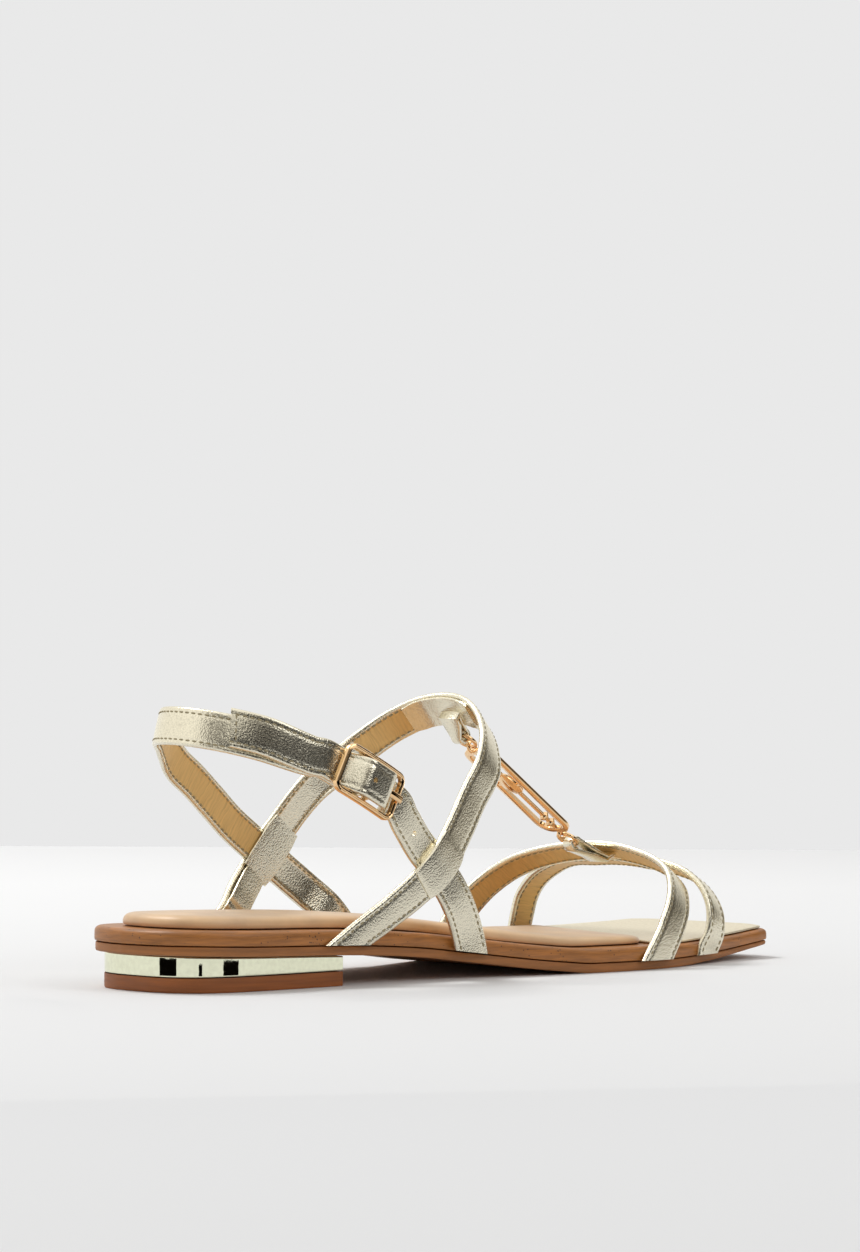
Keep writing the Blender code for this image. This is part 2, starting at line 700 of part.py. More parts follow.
def build_heel(shop):
    plan = heel_plan()
    lift = layer_mesh("heel_top_lift", plan, (
        (OUTSOLE_EDGE / 2, level(0.0)),
        (0.0, level(OUTSOLE_EDGE / 2)),
        (0.0, level(TOP_LIFT_HEIGHT))))
    shop.piece("heel_top_lift", lift, "lift_rubber")
    band = layer_mesh("heel_band", plan, (
        (0.0, level(TOP_LIFT_HEIGHT + CLEARANCE)),
        (0.0, raised(outsole_bottom, -CLEARANCE))))
    shop.piece("heel_band", band, "pale_gold")


def rim_edge(gap):
    """The rounded top edge of the rim, or a surface a gap outside it."""
    return (
        (-gap, raised(rim_top, -MIDSOLE_EDGE)),
        (MIDSOLE_EDGE * 0.3 - gap * 0.75, raised(rim_top, gap * 0.75 - MIDSOLE_EDGE * 0.3)),
        (MIDSOLE_EDGE, raised(rim_top, gap)))


def sole_clearance(shop):
    """Everything that a strap's end must stay out of: the rim with a gap, and all below the seam."""
    reach = 4 * STRAP_THICKNESS
    seat = raised(seam_height, CLEARANCE)
    below = ((-reach, level(-STRAP_WIDTH)), (-reach, seat), (-CLEARANCE, seat))
    data = layer_mesh("sole_clearance", sole_plan(), below + rim_edge(CLEARANCE))
    return shop.guide("sole_clearance", data)


def buckle_lift():
    """Distance from the strap's route to the middle of the buckle's frame, over two straps."""
    return BUCKLE_THICKNESS / 2 + CLEARANCE + STRAP_THICKNESS + CLEARANCE + STRAP_THICKNESS / 2


def prong_ring_radius():
    return CENTRE_BAR_RADIUS + CLEARANCE + PRONG_RADIUS


def centre_bar_lift():
    return buckle_lift() - CENTRE_BAR_DROP


def billet_offset(distance):
    """How far the pulled-through strap lies from its route, at a distance from the buckle's middle."""
    under = buckle_lift() - BUCKLE_THICKNESS / 2 - CLEARANCE - STRAP_THICKNESS / 2
    over = centre_bar_lift() + prong_ring_radius() + PRONG_RADIUS + CLEARANCE + STRAP_THICKNESS / 2
    bar = BUCKLE_LENGTH / 2 - BUCKLE_BAR
    if distance < -bar - BUCKLE_BAR:
        return under * ease(1.0 + (distance + bar + BUCKLE_BAR) / BUCKLE_LENGTH)
    if abs(distance) >= bar - BUCKLE_BAR / 2:
        return under
    return under + (over - under) * ease(1.0 - abs(distance) / (bar - BUCKLE_BAR / 2))


def tail_shift(distance):
    """How far the tail sits above the heel strap that it lies on."""
    weave = BUCKLE_LENGTH / 2 + BUCKLE_BAR
    return -TAIL_RISE * ease((distance - weave) / BUCKLE_LENGTH)


def ankle_frames():
    frames = strap_frames(ANKLE_ROUTE, ANKLE_CORE, INSTEP_HEIGHT)
    centre = frames[BUCKLE_ROW * 12].distance
    return straightened(frames, centre, BUCKLE_LENGTH * 0.55), centre


def billet_stations(frames, centre):
    """The strap from the outer side of the sole, through the buckle, to its slanted tail."""
    weave = BUCKLE_LENGTH / 2 + BUCKLE_BAR
    distances = even_distances(0.0, centre - weave, STRAP_STEP)[:-1]
    distances += even_distances(centre - weave, centre + weave, BUCKLE_STEP)
    distances += even_distances(centre + weave, centre + TAIL_LENGTH, STRAP_STEP)[1:]
    return [strap_station(frames, distance, billet_offset(distance - centre), STRAP_THICKNESS,
                          tail_shift(distance - centre)) for distance in distances]


def heel_strap_stations(frames, centre):
    """The strap round the heel, from its thin fold over the centre bar to the inner side."""
    seat = frame_at(frames, centre)
    radius = CENTRE_BAR_RADIUS + CLEARANCE + FOLD_THICKNESS / 2
    middle = seat.point + seat.outward * centre_bar_lift()

    def local(along, lift, thickness):
        point = seat.point + seat.along * along + seat.outward * lift
        return Station(point, seat.side, seat.width, thickness)

    stations = []
    for angle in np.radians(np.arange(255, -1, -24)):
        point = middle + seat.along * radius * math.cos(angle) + seat.outward * radius * math.sin(angle)
        stations.append(Station(point, seat.side, seat.width, FOLD_THICKNESS))
    drop = centre_bar_lift() / 2
    stations.append(local(radius * 1.35, centre_bar_lift() - drop * 0.5, FOLD_THICKNESS))
    stations.append(local(radius * 2.1, drop, FOLD_THICKNESS * 1.1))
    stations.append(local(radius * 3.2, drop * 0.5, STRAP_THICKNESS * 0.75))
    stations.append(local(radius * 4.6, drop * 0.15, STRAP_THICKNESS * 0.9))
    for distance in even_distances(centre + radius * 6.5, frames[-1].distance, STRAP_STEP):
        stations.append(strap_station(frames, distance, 0.0, STRAP_THICKNESS))
    return stations


def plain_stations(frames, step=STRAP_STEP):
    return [strap_station(frames, distance, 0.0, STRAP_THICKNESS)
            for distance in even_distances(0.0, frames[-1].distance, step)]


def placing_of(point, along, side, outward):
    """Matrix that lays local x, y and z along three directions."""
    turn = Matrix((along, side, outward)).transposed().to_4x4()
    return Matrix.Translation(point * MM) @ turn


def build_ankle_upper(shop, cutter):
    """Instep strap, pulled-through strap and heel strap in one solid, joined where they cross."""
    frames, centre = ankle_frames()
    instep = strap_frames(INSTEP_ROUTE, INSTEP_CORE, INSTEP_HEIGHT)
    upper = shop.piece("ankle_upper", strap_mesh("ankle_upper", plain_stations(instep)), "gold_leather")
    heel = shop.guide("heel_strap", strap_mesh("heel_strap", heel_strap_stations(frames, centre)))
    billet = shop.guide("billet", strap_mesh("billet", billet_stations(frames, centre)))
    seat = frame_at(frames, centre)
    slot = shop.guide("prong_slot", box_mesh("prong_slot", fold_slot_size()),
                      placing_of(seat.point + seat.outward * centre_bar_lift(),
                                 seat.along, seat.side, seat.outward))
    hole = shop.guide("prong_hole", rod_mesh("prong_hole", PRONG_RADIUS + CLEARANCE,
                                             prong_line()[RING_POINTS - 1:]),
                      buckle_placing(seat))
    tail_end = shop.guide("tail_cut", box_mesh("tail_cut", (TAIL_LENGTH / 2, STRAP_WIDTH * 2, STRAP_THICKNESS * 3)),
                          tail_placing(frames, centre))
    shop.combine(heel, slot, "DIFFERENCE")
    shop.combine(billet, hole, "DIFFERENCE")
    shop.combine(billet, tail_end, "DIFFERENCE")
    shop.combine(upper, billet, "UNION")
    shop.combine(upper, heel, "UNION")
    shop.combine(upper, cutter, "DIFFERENCE")
    return upper


def fold_slot_size():
    reach = 2 * (prong_ring_radius() + PRONG_RADIUS + CLEARANCE)
    return reach * 1.25, 2 * (PRONG_RADIUS + CLEARANCE), reach * 0.93


def tail_placing(frames, centre):
    """Where the tail's slanted end is cut, outside the heel strap."""
    end = frame_at(frames, centre + TAIL_LENGTH)
    slant = Matrix.Rotation(math.atan2(TAIL_SLANT, STRAP_WIDTH), 4, "Z")
    lift = STRAP_THICKNESS + CLEARANCE + STRAP_THICKNESS * 0.95
    point = end.point + end.outward * lift + end.along * TAIL_LENGTH / 4
    return placing_of(point, end.along, end.side, end.outward) @ slant


def buckle_placing(seat):
    return placing_of(seat.point + seat.outward * buckle_lift(), seat.along, seat.side, seat.outward)


def prong_line():
    """The prong's middle line in the buckle's own frame: a ring round the centre bar, then a tongue."""
    radius = prong_ring_radius()
    points = []
    for angle in np.radians(np.linspace(-150, 90, RING_POINTS)):
        points.append(Vector((radius * math.cos(angle), 0.0, radius * math.sin(angle) - CENTRE_BAR_DROP)))
    rest = BUCKLE_THICKNESS / 2 + CLEARANCE + PRONG_RADIUS
    reach = BUCKLE_LENGTH / 2 + PRONG_OVERHANG
    start = points[-1]
    for share in (0.2, 0.5, 0.8, 1.0):
        points.append(Vector((-reach * share, 0.0, start.z + (rest - start.z) * ease(share * 1.2))))
    return points


def build_buckle(shop):
    frames, centre = ankle_frames()
    seat = frame_at(frames, centre)
    placing = buckle_placing(seat)
    inner_width = seat.width + 2 * BUCKLE_SIDE_GAP
    outer = rounded_rectangle(BUCKLE_LENGTH, inner_width + 2 * BUCKLE_BAR, BUCKLE_CORNER)
    inner = rounded_rectangle(BUCKLE_LENGTH - 2 * BUCKLE_BAR, inner_width, BUCKLE_CORNER - BUCKLE_BAR)
    data = plate_mesh("buckle_frame", (outer, inner), BUCKLE_THICKNESS, BUCKLE_THICKNESS * 0.22)
    frame = shop.piece("buckle_frame", data, "rose_gold", placing)
    half = inner_width / 2 + BUCKLE_BAR * 0.6
    bar = rod_mesh("centre_bar", CENTRE_BAR_RADIUS,
                   (Vector((0, -half, -CENTRE_BAR_DROP)), Vector((0, half, -CENTRE_BAR_DROP))))
    shop.combine(frame, shop.guide("centre_bar", bar, placing), "UNION")
    prong = rod_mesh("buckle_prong", PRONG_RADIUS, prong_line())
    shop.piece("buckle_prong", prong, "rose_gold", placing)


def build_vamp_upper(shop, cutter):
    rear = strap_frames(REAR_VAMP_ROUTE, REAR_VAMP_CORE, VAMP_HEIGHT)
    front = strap_frames(FRONT_VAMP_ROUTE, FRONT_VAMP_CORE, VAMP_HEIGHT)
    upper = shop.piece("vamp_upper", strap_mesh("vamp_upper", plain_stations(rear)), "gold_leather")
    other = shop.guide("front_vamp_strap", strap_mesh("front_vamp_strap", plain_stations(front)))
    shop.combine(upper, other, "UNION")
    shop.combine(upper, cutter, "DIFFERENCE")


def ornament_ends():
    """The wires held by the two tabs: the ornament hangs between them."""
    top = Vector((ORNAMENT_TOP[0] * LENGTH, 0.0, ORNAMENT_TOP[1] * INSTEP_HEIGHT))
    foot = Vector((ORNAMENT_FOOT[0] * LENGTH, 0.0, ORNAMENT_FOOT[1] * INSTEP_HEIGHT))
    return top, foot


def tab_stations(wire, anchor, outward):
    """A strip folded round a ring's wire, its two ends side by side under the strap."""
    towards = (anchor - wire).normalized()
    normal = towards.cross(Vector((0, 1, 0)))
    if normal.dot(outward) < 0:
        normal = -normal
    ring_sag = RING_RADIUS - math.sqrt(RING_RADIUS**2 - (TAB_FOLD_WIDTH / 2)**2)
    radius = RING_WIRE + ring_sag / 2 + CLEARANCE + TAB_THICKNESS / 2
    centre = wire - towards * ring_sag / 2
    half_gap = (CLEARANCE + TAB_THICKNESS) / 2
    waist = centre.lerp(anchor, 0.55)
    across = Vector((0, 1, 0))
    stations = [Station(anchor + normal * half_gap, across, TAB_WIDTH, TAB_THICKNESS),
                Station(waist + normal * half_gap, across, TAB_WIDTH * 0.85, TAB_THICKNESS)]
    for angle in np.radians(np.linspace(65, 295, 9)):
        spoke = towards * math.cos(angle) + normal * math.sin(angle)
        stations.append(Station(centre + spoke * radius, across, TAB_FOLD_WIDTH, TAB_THICKNESS))
    stations.append(Station(waist - normal * half_gap, across, TAB_WIDTH * 0.85, TAB_THICKNESS))
    stations.append(Station(anchor - normal * half_gap, across, TAB_WIDTH, TAB_THICKNESS))
    return stations


def build_tabs(shop):
    """The two leather loops, seated under the instep strap and under the vamp straps."""
    top, foot = ornament_ends()
    instep = strap_frames(INSTEP_ROUTE, INSTEP_CORE, INSTEP_HEIGHT)[INSTEP_TOP_ROW * 12]
    vamp = strap_frames(REAR_VAMP_ROUTE, REAR_VAMP_CORE, VAMP_HEIGHT)[VAMP_TOP_ROW * 12]
    drop = STRAP_THICKNESS / 2 + CLEARANCE * 1.5 + TAB_THICKNESS + STRAP_SAG
    for name, wire, frame in (("instep_tab", top, instep), ("vamp_tab", foot, vamp)):
        anchor = frame.point + frame.outward * (frame.lift - drop)
        data = strap_mesh(name, tab_stations(wire, anchor, frame.outward))
        shop.piece(name, data, "gold_leather")


def slope_placing(point, slope):
    """Local x down the ornament's slope, local y across the shoe."""
    side = Vector((0, 1, 0))
    return placing_of(point, slope, side, slope.cross(side))


def build_ornament(shop):
    top, foot = ornament_ends()
    slope = (foot - top).normalized()
    for name, wire, direction in (("instep_ring", top, 1), ("vamp_ring", foot, -1)):
        centre = wire + slope * RING_RADIUS * direction
        shop.piece(name, torus_mesh(name, RING_RADIUS, RING_WIRE), "rose_gold", slope_placing(centre, slope))
    first = top + slope * 2 * RING_RADIUS
    last = foot - slope * 2 * RING_RADIUS
    span = (last - first).length
    body = span - 2 * EYELET_RADIUS
    placing = slope_placing((first + last) / 2, slope)
    outer = rounded_rectangle(body, LINK_WIDTH, LINK_CORNER)
    inner = rounded_rectangle(body - 2 * LINK_RAIL, LINK_WIDTH - 2 * LINK_RAIL, LINK_CORNER - LINK_RAIL)
    data = plate_mesh("ornament", (outer, inner), LINK_THICKNESS, LINK_THICKNESS * 0.25)
    link = shop.piece("ornament", data, "rose_gold", placing)
    for guide in ornament_fillings(shop, body, placing):
        shop.combine(link, guide, "UNION")


def ornament_fillings(shop, body, placing):
    """Eyelets at both ends, a spine with an oval boss and beads, and a bridge to the rails."""
    half = body / 2
    spine = rod_mesh("spine", SPINE_RADIUS, (Vector((-half + LINK_RAIL / 2, 0, 0)),
                                             Vector((half - LINK_RAIL / 2, 0, 0))))
    guides = [shop.guide("spine", spine, placing)]
    bridge_end = LINK_WIDTH / 2 - LINK_RAIL / 2
    boss_place = -body * 0.08
    bridge = rod_mesh("bridge", BRIDGE_RADIUS, (Vector((boss_place, -bridge_end, 0)),
                                                Vector((boss_place, bridge_end, 0))))
    guides.append(shop.guide("bridge", bridge, placing))
    boss = ball_mesh("boss", (BOSS_LENGTH / 2, BOSS_WIDTH / 2, BOSS_THICKNESS / 2))
    guides.append(shop.guide("boss", boss, placing @ Matrix.Translation((boss_place * MM, 0, 0))))
    for index in range(BEAD_COUNT):
        place = half - LINK_RAIL - BEAD_RADIUS * (1.6 + 2.3 * index)
        bead = ball_mesh(f"bead_{index + 1}", (BEAD_RADIUS,) * 3)
        guides.append(shop.guide(f"bead_{index + 1}", bead, placing @ Matrix.Translation((place * MM, 0, 0))))
    upright = Matrix.Rotation(math.radians(90), 4, "X")
    for name, end in (("top_eyelet", -1), ("foot_eyelet", 1)):
        shift = Matrix.Translation((end * (half + EYELET_RADIUS) * MM, 0, 0))
        eyelet = torus_mesh(name, EYELET_RADIUS, EYELET_WIRE)
        guides.append(shop.guide(name, eyelet, placing @ shift @ upright))
    return guides


def rounded_rectangle(length, width, radius, steps=4):
    """Corner arcs of a rounded rectangle, in order."""
    points = []
    for quarter, (side_x, side_y) in enumerate(((1, 1), (-1, 1), (-1, -1), (1, -1))):
        centre = (side_x * (length / 2 - radius), side_y * (width / 2 - radius))
        for step in range(steps + 1):
            angle = math.radians(90 * (quarter + step / steps))
            points.append((centre[0] + radius * math.cos(angle), centre[1] + radius * math.sin(angle)))
    return points


def plate_mesh(name, outlines, thickness, bevel):
    """A flat plate with openings, from a filled 2D curve, with rounded edges."""
    curve = bpy.data.curves.new(name, "CURVE")
    curve.dimensions = "2D"
    curve.fill_mode = "BOTH"
    curve.extrude = (thickness / 2 - bevel) * MM
    curve.bevel_depth = bevel * MM
    curve.bevel_resolution = 1
    curve.offset = -bevel * MM
    for outline in outlines:
        spline = curve.splines.new("POLY")
        spline.points.add(len(outline) - 1)
        for point, (x, y) in zip(spline.points, outline):
            point.co = (x * MM, y * MM, 0.0, 1.0)
        spline.use_cyclic_u = True
    return mesh_from_curve(name, curve)


def rod_mesh(name, radius, points):
    """A round rod along its points, with closed ends."""
    curve = bpy.data.curves.new(name, "CURVE")
    curve.dimensions = "3D"
    curve.bevel_depth = radius * MM
    curve.bevel_resolution = 2
    curve.use_fill_caps = True
    spline = curve.splines.new("POLY")
    spline.points.add(len(points) - 1)
    for point, place in zip(spline.points, points):
        point.co = (*(place * MM), 1.0)
    return mesh_from_curve(name, curve)


def mesh_from_curve(name, curve):
    """A welded mesh of a curve's surface."""
    item = bpy.data.objects.new(name + "_curve", curve)
    bpy.context.scene.collection.objects.link(item)
    bpy.context.view_layer.update()
    data = bpy.data.meshes.new_from_object(item.evaluated_get(bpy.context.evaluated_depsgraph_get()))
    bpy.data.objects.remove(item, do_unlink=True)
    mesh = bmesh.new()
    mesh.from_mesh(data)
    bmesh.ops.remove_doubles(mesh, verts=mesh.verts, dist=0.00001)
    bpy.data.meshes.remove(data)
    return finish_mesh(mesh, name)


def torus_mesh(name, radius, wire):
    bpy.ops.mesh.primitive_torus_add(major_segments=18, minor_segments=6,
                                     major_radius=radius * MM, minor_radius=wire * MM)
    return taken_mesh(name)


def taken_mesh(name):
    """The mesh of the primitive just added, with its object removed."""
    item = bpy.context.active_object
    data = item.data
    bpy.data.objects.remove(item, do_unlink=True)
    data.name = name
    data.shade_smooth()
    return data


def ball_mesh(name, radii):
    mesh = bmesh.new()
    bmesh.ops.create_uvsphere(mesh, u_segments=12, v_segments=6, radius=1.0)
    bmesh.ops.scale(mesh, vec=Vector(radii) * MM, verts=mesh.verts)
    return finish_mesh(mesh, name)


def box_mesh(name, size):
    mesh = bmesh.new()
    bmesh.ops.create_cube(mesh, size=1.0)
    bmesh.ops.scale(mesh, vec=Vector(size) * MM, verts=mesh.verts)
    return finish_mesh(mesh, name)


def main():
    shop = Workshop()
    build_sole(shop)
    build_heel(shop)
    cutter = sole_clearance(shop)
    build_ankle_upper(shop, cutter)
    build_vamp_upper(shop, cutter)
    build_buckle(shop)
    build_tabs(shop)
    build_ornament(shop)


if __name__ == "__main__":
    main()
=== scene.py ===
"""Right gladiator sandal: the visible pieces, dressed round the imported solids.

Every shape is worked out in millimetres in the sole's own frame, which runs from the back of the
heel (x = 0) to the toe with the buckle side at -y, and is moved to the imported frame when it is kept.
"""
import json
import math
from collections import namedtuple

import bmesh
import bpy
import numpy as np
from mathutils import Matrix, Vector

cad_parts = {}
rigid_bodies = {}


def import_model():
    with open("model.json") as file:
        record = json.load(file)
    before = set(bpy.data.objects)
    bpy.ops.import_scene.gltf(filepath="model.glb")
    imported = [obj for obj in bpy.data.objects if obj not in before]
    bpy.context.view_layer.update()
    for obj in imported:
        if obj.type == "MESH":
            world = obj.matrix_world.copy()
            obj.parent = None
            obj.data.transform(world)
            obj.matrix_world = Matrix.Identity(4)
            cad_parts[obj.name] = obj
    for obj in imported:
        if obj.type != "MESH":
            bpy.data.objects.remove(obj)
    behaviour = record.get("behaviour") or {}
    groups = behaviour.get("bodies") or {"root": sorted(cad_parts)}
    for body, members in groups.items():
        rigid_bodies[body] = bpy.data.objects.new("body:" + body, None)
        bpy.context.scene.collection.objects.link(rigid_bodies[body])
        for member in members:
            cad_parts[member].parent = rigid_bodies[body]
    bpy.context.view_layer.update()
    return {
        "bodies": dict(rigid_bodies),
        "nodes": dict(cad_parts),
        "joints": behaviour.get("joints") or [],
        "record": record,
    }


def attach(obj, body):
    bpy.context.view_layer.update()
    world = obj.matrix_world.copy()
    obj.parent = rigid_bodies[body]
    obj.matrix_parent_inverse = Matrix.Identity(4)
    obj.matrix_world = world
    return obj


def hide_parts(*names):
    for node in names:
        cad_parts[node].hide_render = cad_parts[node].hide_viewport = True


bl_info = {
    "name": "Gladiator Sandal",
    "version": (1, 0, 0),
    "blender": (4, 5, 0),
    "location": "View3D > Sidebar > Sandal",
    "description": "Builds a flat sandal with crossing straps, a buckle and a linked ornament",
    "category": "Object",
}

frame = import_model()

MM = 0.001

# Driving sizes, as in the solids
LENGTH = 251.7
BALL_WIDTH = 84.0
HEEL_HEIGHT = 10.9
TOE_SPRING = 4.7
TOE_SLANT = 3.1
INSTEP_HEIGHT = 86.0
VAMP_HEIGHT = 36.0
OUTSOLE_THICKNESS = 2.8
MIDSOLE_HEIGHT = 4.3
PAD_HEIGHT = 3.8
PAD_INSET = 8.2
PAD_CROWN = 0.5
PAD_THINNING = 0.42
PAD_THINNING_START = 0.45
PAD_THINNING_RUN = 0.35
TOE_PANEL_THICKNESS = 0.7
TOE_PANEL_INSET = 2.0
PANEL_CORNER = 9.0
HEEL_INSET = 4.6
HEEL_BREAST = 63.5
HEEL_WIDTH = 52.0
TOP_LIFT_HEIGHT = 4.3
HEEL_MIDDLE = (HEEL_INSET + HEEL_BREAST) / 2
STRAP_WIDTH = 11.4
STRAP_THICKNESS = 1.8
FOLD_THICKNESS = 0.9
BUCKLE_LENGTH = 24.0
BUCKLE_BAR = 1.6
BUCKLE_THICKNESS = 1.8
STRAIGHT_BLEND = 0.5
CLEARANCE = 0.3
SIDE_STEPS = 8

# Half widths of the sole as shares of the ball width, from the heel's back to the toe
PlanRow = namedtuple("PlanRow", "station lateral medial")
SOLE_PLAN = (
    PlanRow(0.000, 0.000, 0.000),
    PlanRow(0.003, 0.085, 0.085),
    PlanRow(0.014, 0.180, 0.182),
    PlanRow(0.034, 0.248, 0.250),
    PlanRow(0.065, 0.303, 0.306),
    PlanRow(0.120, 0.340, 0.343),
    PlanRow(0.200, 0.349, 0.346),
    PlanRow(0.300, 0.350, 0.322),
    PlanRow(0.400, 0.362, 0.304),
    PlanRow(0.500, 0.403, 0.340),
    PlanRow(0.600, 0.455, 0.422),
    PlanRow(0.680, 0.482, 0.488),
    PlanRow(0.740, 0.478, 0.513),
    PlanRow(0.800, 0.451, 0.512),
    PlanRow(0.860, 0.408, 0.488),
    PlanRow(0.920, 0.368, 0.440),
    PlanRow(0.960, 0.346, 0.398),
    PlanRow(0.984, 0.336, 0.372),
    PlanRow(0.995, 0.326, 0.352),
    PlanRow(1.001, 0.295, 0.310),
    PlanRow(1.004, 0.000, 0.000),
)

# Heel block outline: station along the block, half width as a share of half the heel's width
HeelRow = namedtuple("HeelRow", "station half")
HEEL_PLAN = (
    HeelRow(0.000, 0.00),
    HeelRow(0.008, 0.32),
    HeelRow(0.045, 0.58),
    HeelRow(0.130, 0.79),
    HeelRow(0.260, 0.91),
    HeelRow(0.450, 0.965),
    HeelRow(0.720, 0.99),
    HeelRow(1.000, 1.00),
)

# Side view of the sole: shares of heel height, toe spring, outsole thickness and midsole height
LineRow = namedtuple("LineRow", "station heel toe thickness rim")
SOLE_LINE = (
    LineRow(0.00, 1.00, 0.00, 0.96, 1.00),
    LineRow(0.12, 0.93, 0.00, 0.96, 1.00),
    LineRow(0.25, 0.84, 0.00, 0.96, 1.00),
    LineRow(0.36, 0.68, 0.00, 0.96, 1.00),
    LineRow(0.44, 0.47, 0.00, 0.96, 1.00),
    LineRow(0.52, 0.24, 0.00, 0.96, 1.00),
    LineRow(0.58, 0.09, 0.00, 0.98, 1.00),
    LineRow(0.63, 0.00, 0.00, 1.00, 1.00),
    LineRow(0.76, 0.00, 0.00, 0.95, 0.97),
    LineRow(0.86, 0.00, 0.20, 0.80, 0.92),
    LineRow(0.93, 0.00, 0.52, 0.62, 0.86),
    LineRow(1.01, 0.00, 1.00, 0.43, 0.80),
)

# Where the padded footbed ends, as shares of the length
PAD_FRONT_LATERAL = 0.745
PAD_FRONT_MEDIAL = 0.835

# Strap routes. station: share of the length; across: share of the ball width, negative on the buckle
# side, or LATERAL_RIM or MEDIAL_RIM where the strap lies on the sole's edge; rise: share of the strap
# group's height; width: share of the strap width; lift: share of the strap's thickness, outward.
LATERAL_RIM = "lateral rim"
MEDIAL_RIM = "medial rim"
StrapRow = namedtuple("StrapRow", "station across rise width lift")
INSTEP_ROUTE = (
    StrapRow(0.203, LATERAL_RIM, 0.075, 0.82, 0.0),
    StrapRow(0.262, LATERAL_RIM, 0.175, 0.82, 0.0),
    StrapRow(0.306, -0.376, 0.247, 0.86, 0.0),
    StrapRow(0.343, -0.388, 0.318, 0.93, 0.2),
    StrapRow(0.379, -0.393, 0.400, 1.00, 0.45),
    StrapRow(0.417, -0.374, 0.510, 1.00, 0.2),
    StrapRow(0.453, -0.350, 0.631, 1.00, 0.0),
    StrapRow(0.489, -0.322, 0.744, 1.03, 0.0),
    StrapRow(0.515, -0.238, 0.852, 1.02, 0.0),
    StrapRow(0.531, -0.130, 0.915, 1.01, 0.0),
    StrapRow(0.539, 0.000, 0.937, 1.00, 0.0),
    StrapRow(0.532, 0.125, 0.922, 1.00, 0.0),
    StrapRow(0.514, 0.224, 0.874, 1.00, 0.0),
    StrapRow(0.480, 0.303, 0.789, 1.00, 0.0),
    StrapRow(0.446, 0.325, 0.722, 1.00, 0.0),
    StrapRow(0.411, 0.331, 0.661, 1.00, 0.0),
    StrapRow(0.387, 0.349, 0.590, 1.00, 0.0),
    StrapRow(0.366, 0.363, 0.512, 1.00, 0.2),
    StrapRow(0.342, 0.371, 0.430, 1.02, 0.45),
    StrapRow(0.321, 0.369, 0.360, 1.00, 0.2),
    StrapRow(0.300, 0.367, 0.291, 1.00, 0.0),
    StrapRow(0.274, MEDIAL_RIM, 0.205, 1.00, 0.0),
    StrapRow(0.240, MEDIAL_RIM, 0.100, 1.00, 0.0),
)
ANKLE_ROUTE = (
    StrapRow(0.443, LATERAL_RIM, 0.035, 1.12, 0.0),
    StrapRow(0.434, LATERAL_RIM, 0.140, 1.10, 0.0),
    StrapRow(0.409, -0.398, 0.284, 1.06, -0.1),
    StrapRow(0.379, -0.393, 0.397, 1.02, -0.25),
    StrapRow(0.349, -0.383, 0.481, 1.00, -0.1),
    StrapRow(0.329, -0.378, 0.545, 1.00, 0.0),
    StrapRow(0.302, -0.370, 0.634, 1.00, 0.0),
    StrapRow(0.262, -0.359, 0.708, 1.00, 0.0),
    StrapRow(0.220, -0.349, 0.760, 1.00, 0.0),
    StrapRow(0.177, -0.325, 0.793, 1.00, 0.0),
    StrapRow(0.131, -0.265, 0.838, 1.00, 0.0),
    StrapRow(0.098, -0.172, 0.868, 1.00, 0.0),
    StrapRow(0.080, -0.062, 0.884, 1.00, 0.0),
    StrapRow(0.082, 0.052, 0.886, 1.00, 0.0),
    StrapRow(0.099, 0.143, 0.878, 1.00, 0.0),
    StrapRow(0.125, 0.215, 0.853, 1.00, 0.0),
    StrapRow(0.151, 0.276, 0.806, 1.00, 0.0),
    StrapRow(0.179, 0.315, 0.744, 1.00, 0.0),
    StrapRow(0.211, 0.336, 0.686, 1.00, 0.0),
    StrapRow(0.246, 0.351, 0.610, 1.00, 0.0),
    StrapRow(0.282, 0.364, 0.529, 1.00, 0.0),
    StrapRow(0.314, 0.370, 0.465, 1.00, -0.15),
    StrapRow(0.344, 0.371, 0.405, 1.00, -0.25),
    StrapRow(0.372, 0.369, 0.350, 1.00, -0.1),
    StrapRow(0.403, 0.357, 0.285, 1.00, 0.0),
    StrapRow(0.434, MEDIAL_RIM, 0.205, 1.00, 0.0),
    StrapRow(0.467, MEDIAL_RIM, 0.100, 1.00, 0.0),
    StrapRow(0.485, MEDIAL_RIM, 0.040, 1.00, 0.0),
)
REAR_VAMP_ROUTE = (
    StrapRow(0.711, LATERAL_RIM, -0.055, 1.00, 0.0),
    StrapRow(0.732, LATERAL_RIM, 0.125, 1.00, 0.0),
    StrapRow(0.757, -0.480, 0.333, 0.98, 0.0),
    StrapRow(0.782, -0.448, 0.550, 0.97, 0.0),
    StrapRow(0.802, -0.380, 0.735, 0.97, 0.0),
    StrapRow(0.813, -0.292, 0.832, 0.97, 0.0),
    StrapRow(0.815, -0.153, 0.912, 0.97, 0.2),
    StrapRow(0.812, 0.000, 0.948, 0.98, 0.3),
    StrapRow(0.802, 0.143, 0.936, 1.00, 0.2),
    StrapRow(0.790, 0.262, 0.892, 1.02, 0.0),
    StrapRow(0.776, 0.369, 0.800, 1.03, 0.0),
    StrapRow(0.762, 0.440, 0.680, 1.03, 0.0),
    StrapRow(0.742, 0.485, 0.525, 1.02, 0.0),
    StrapRow(0.719, 0.509, 0.333, 1.00, 0.0),
    StrapRow(0.699, MEDIAL_RIM, 0.140, 1.00, 0.0),
    StrapRow(0.683, MEDIAL_RIM, -0.030, 1.00, 0.0),
)
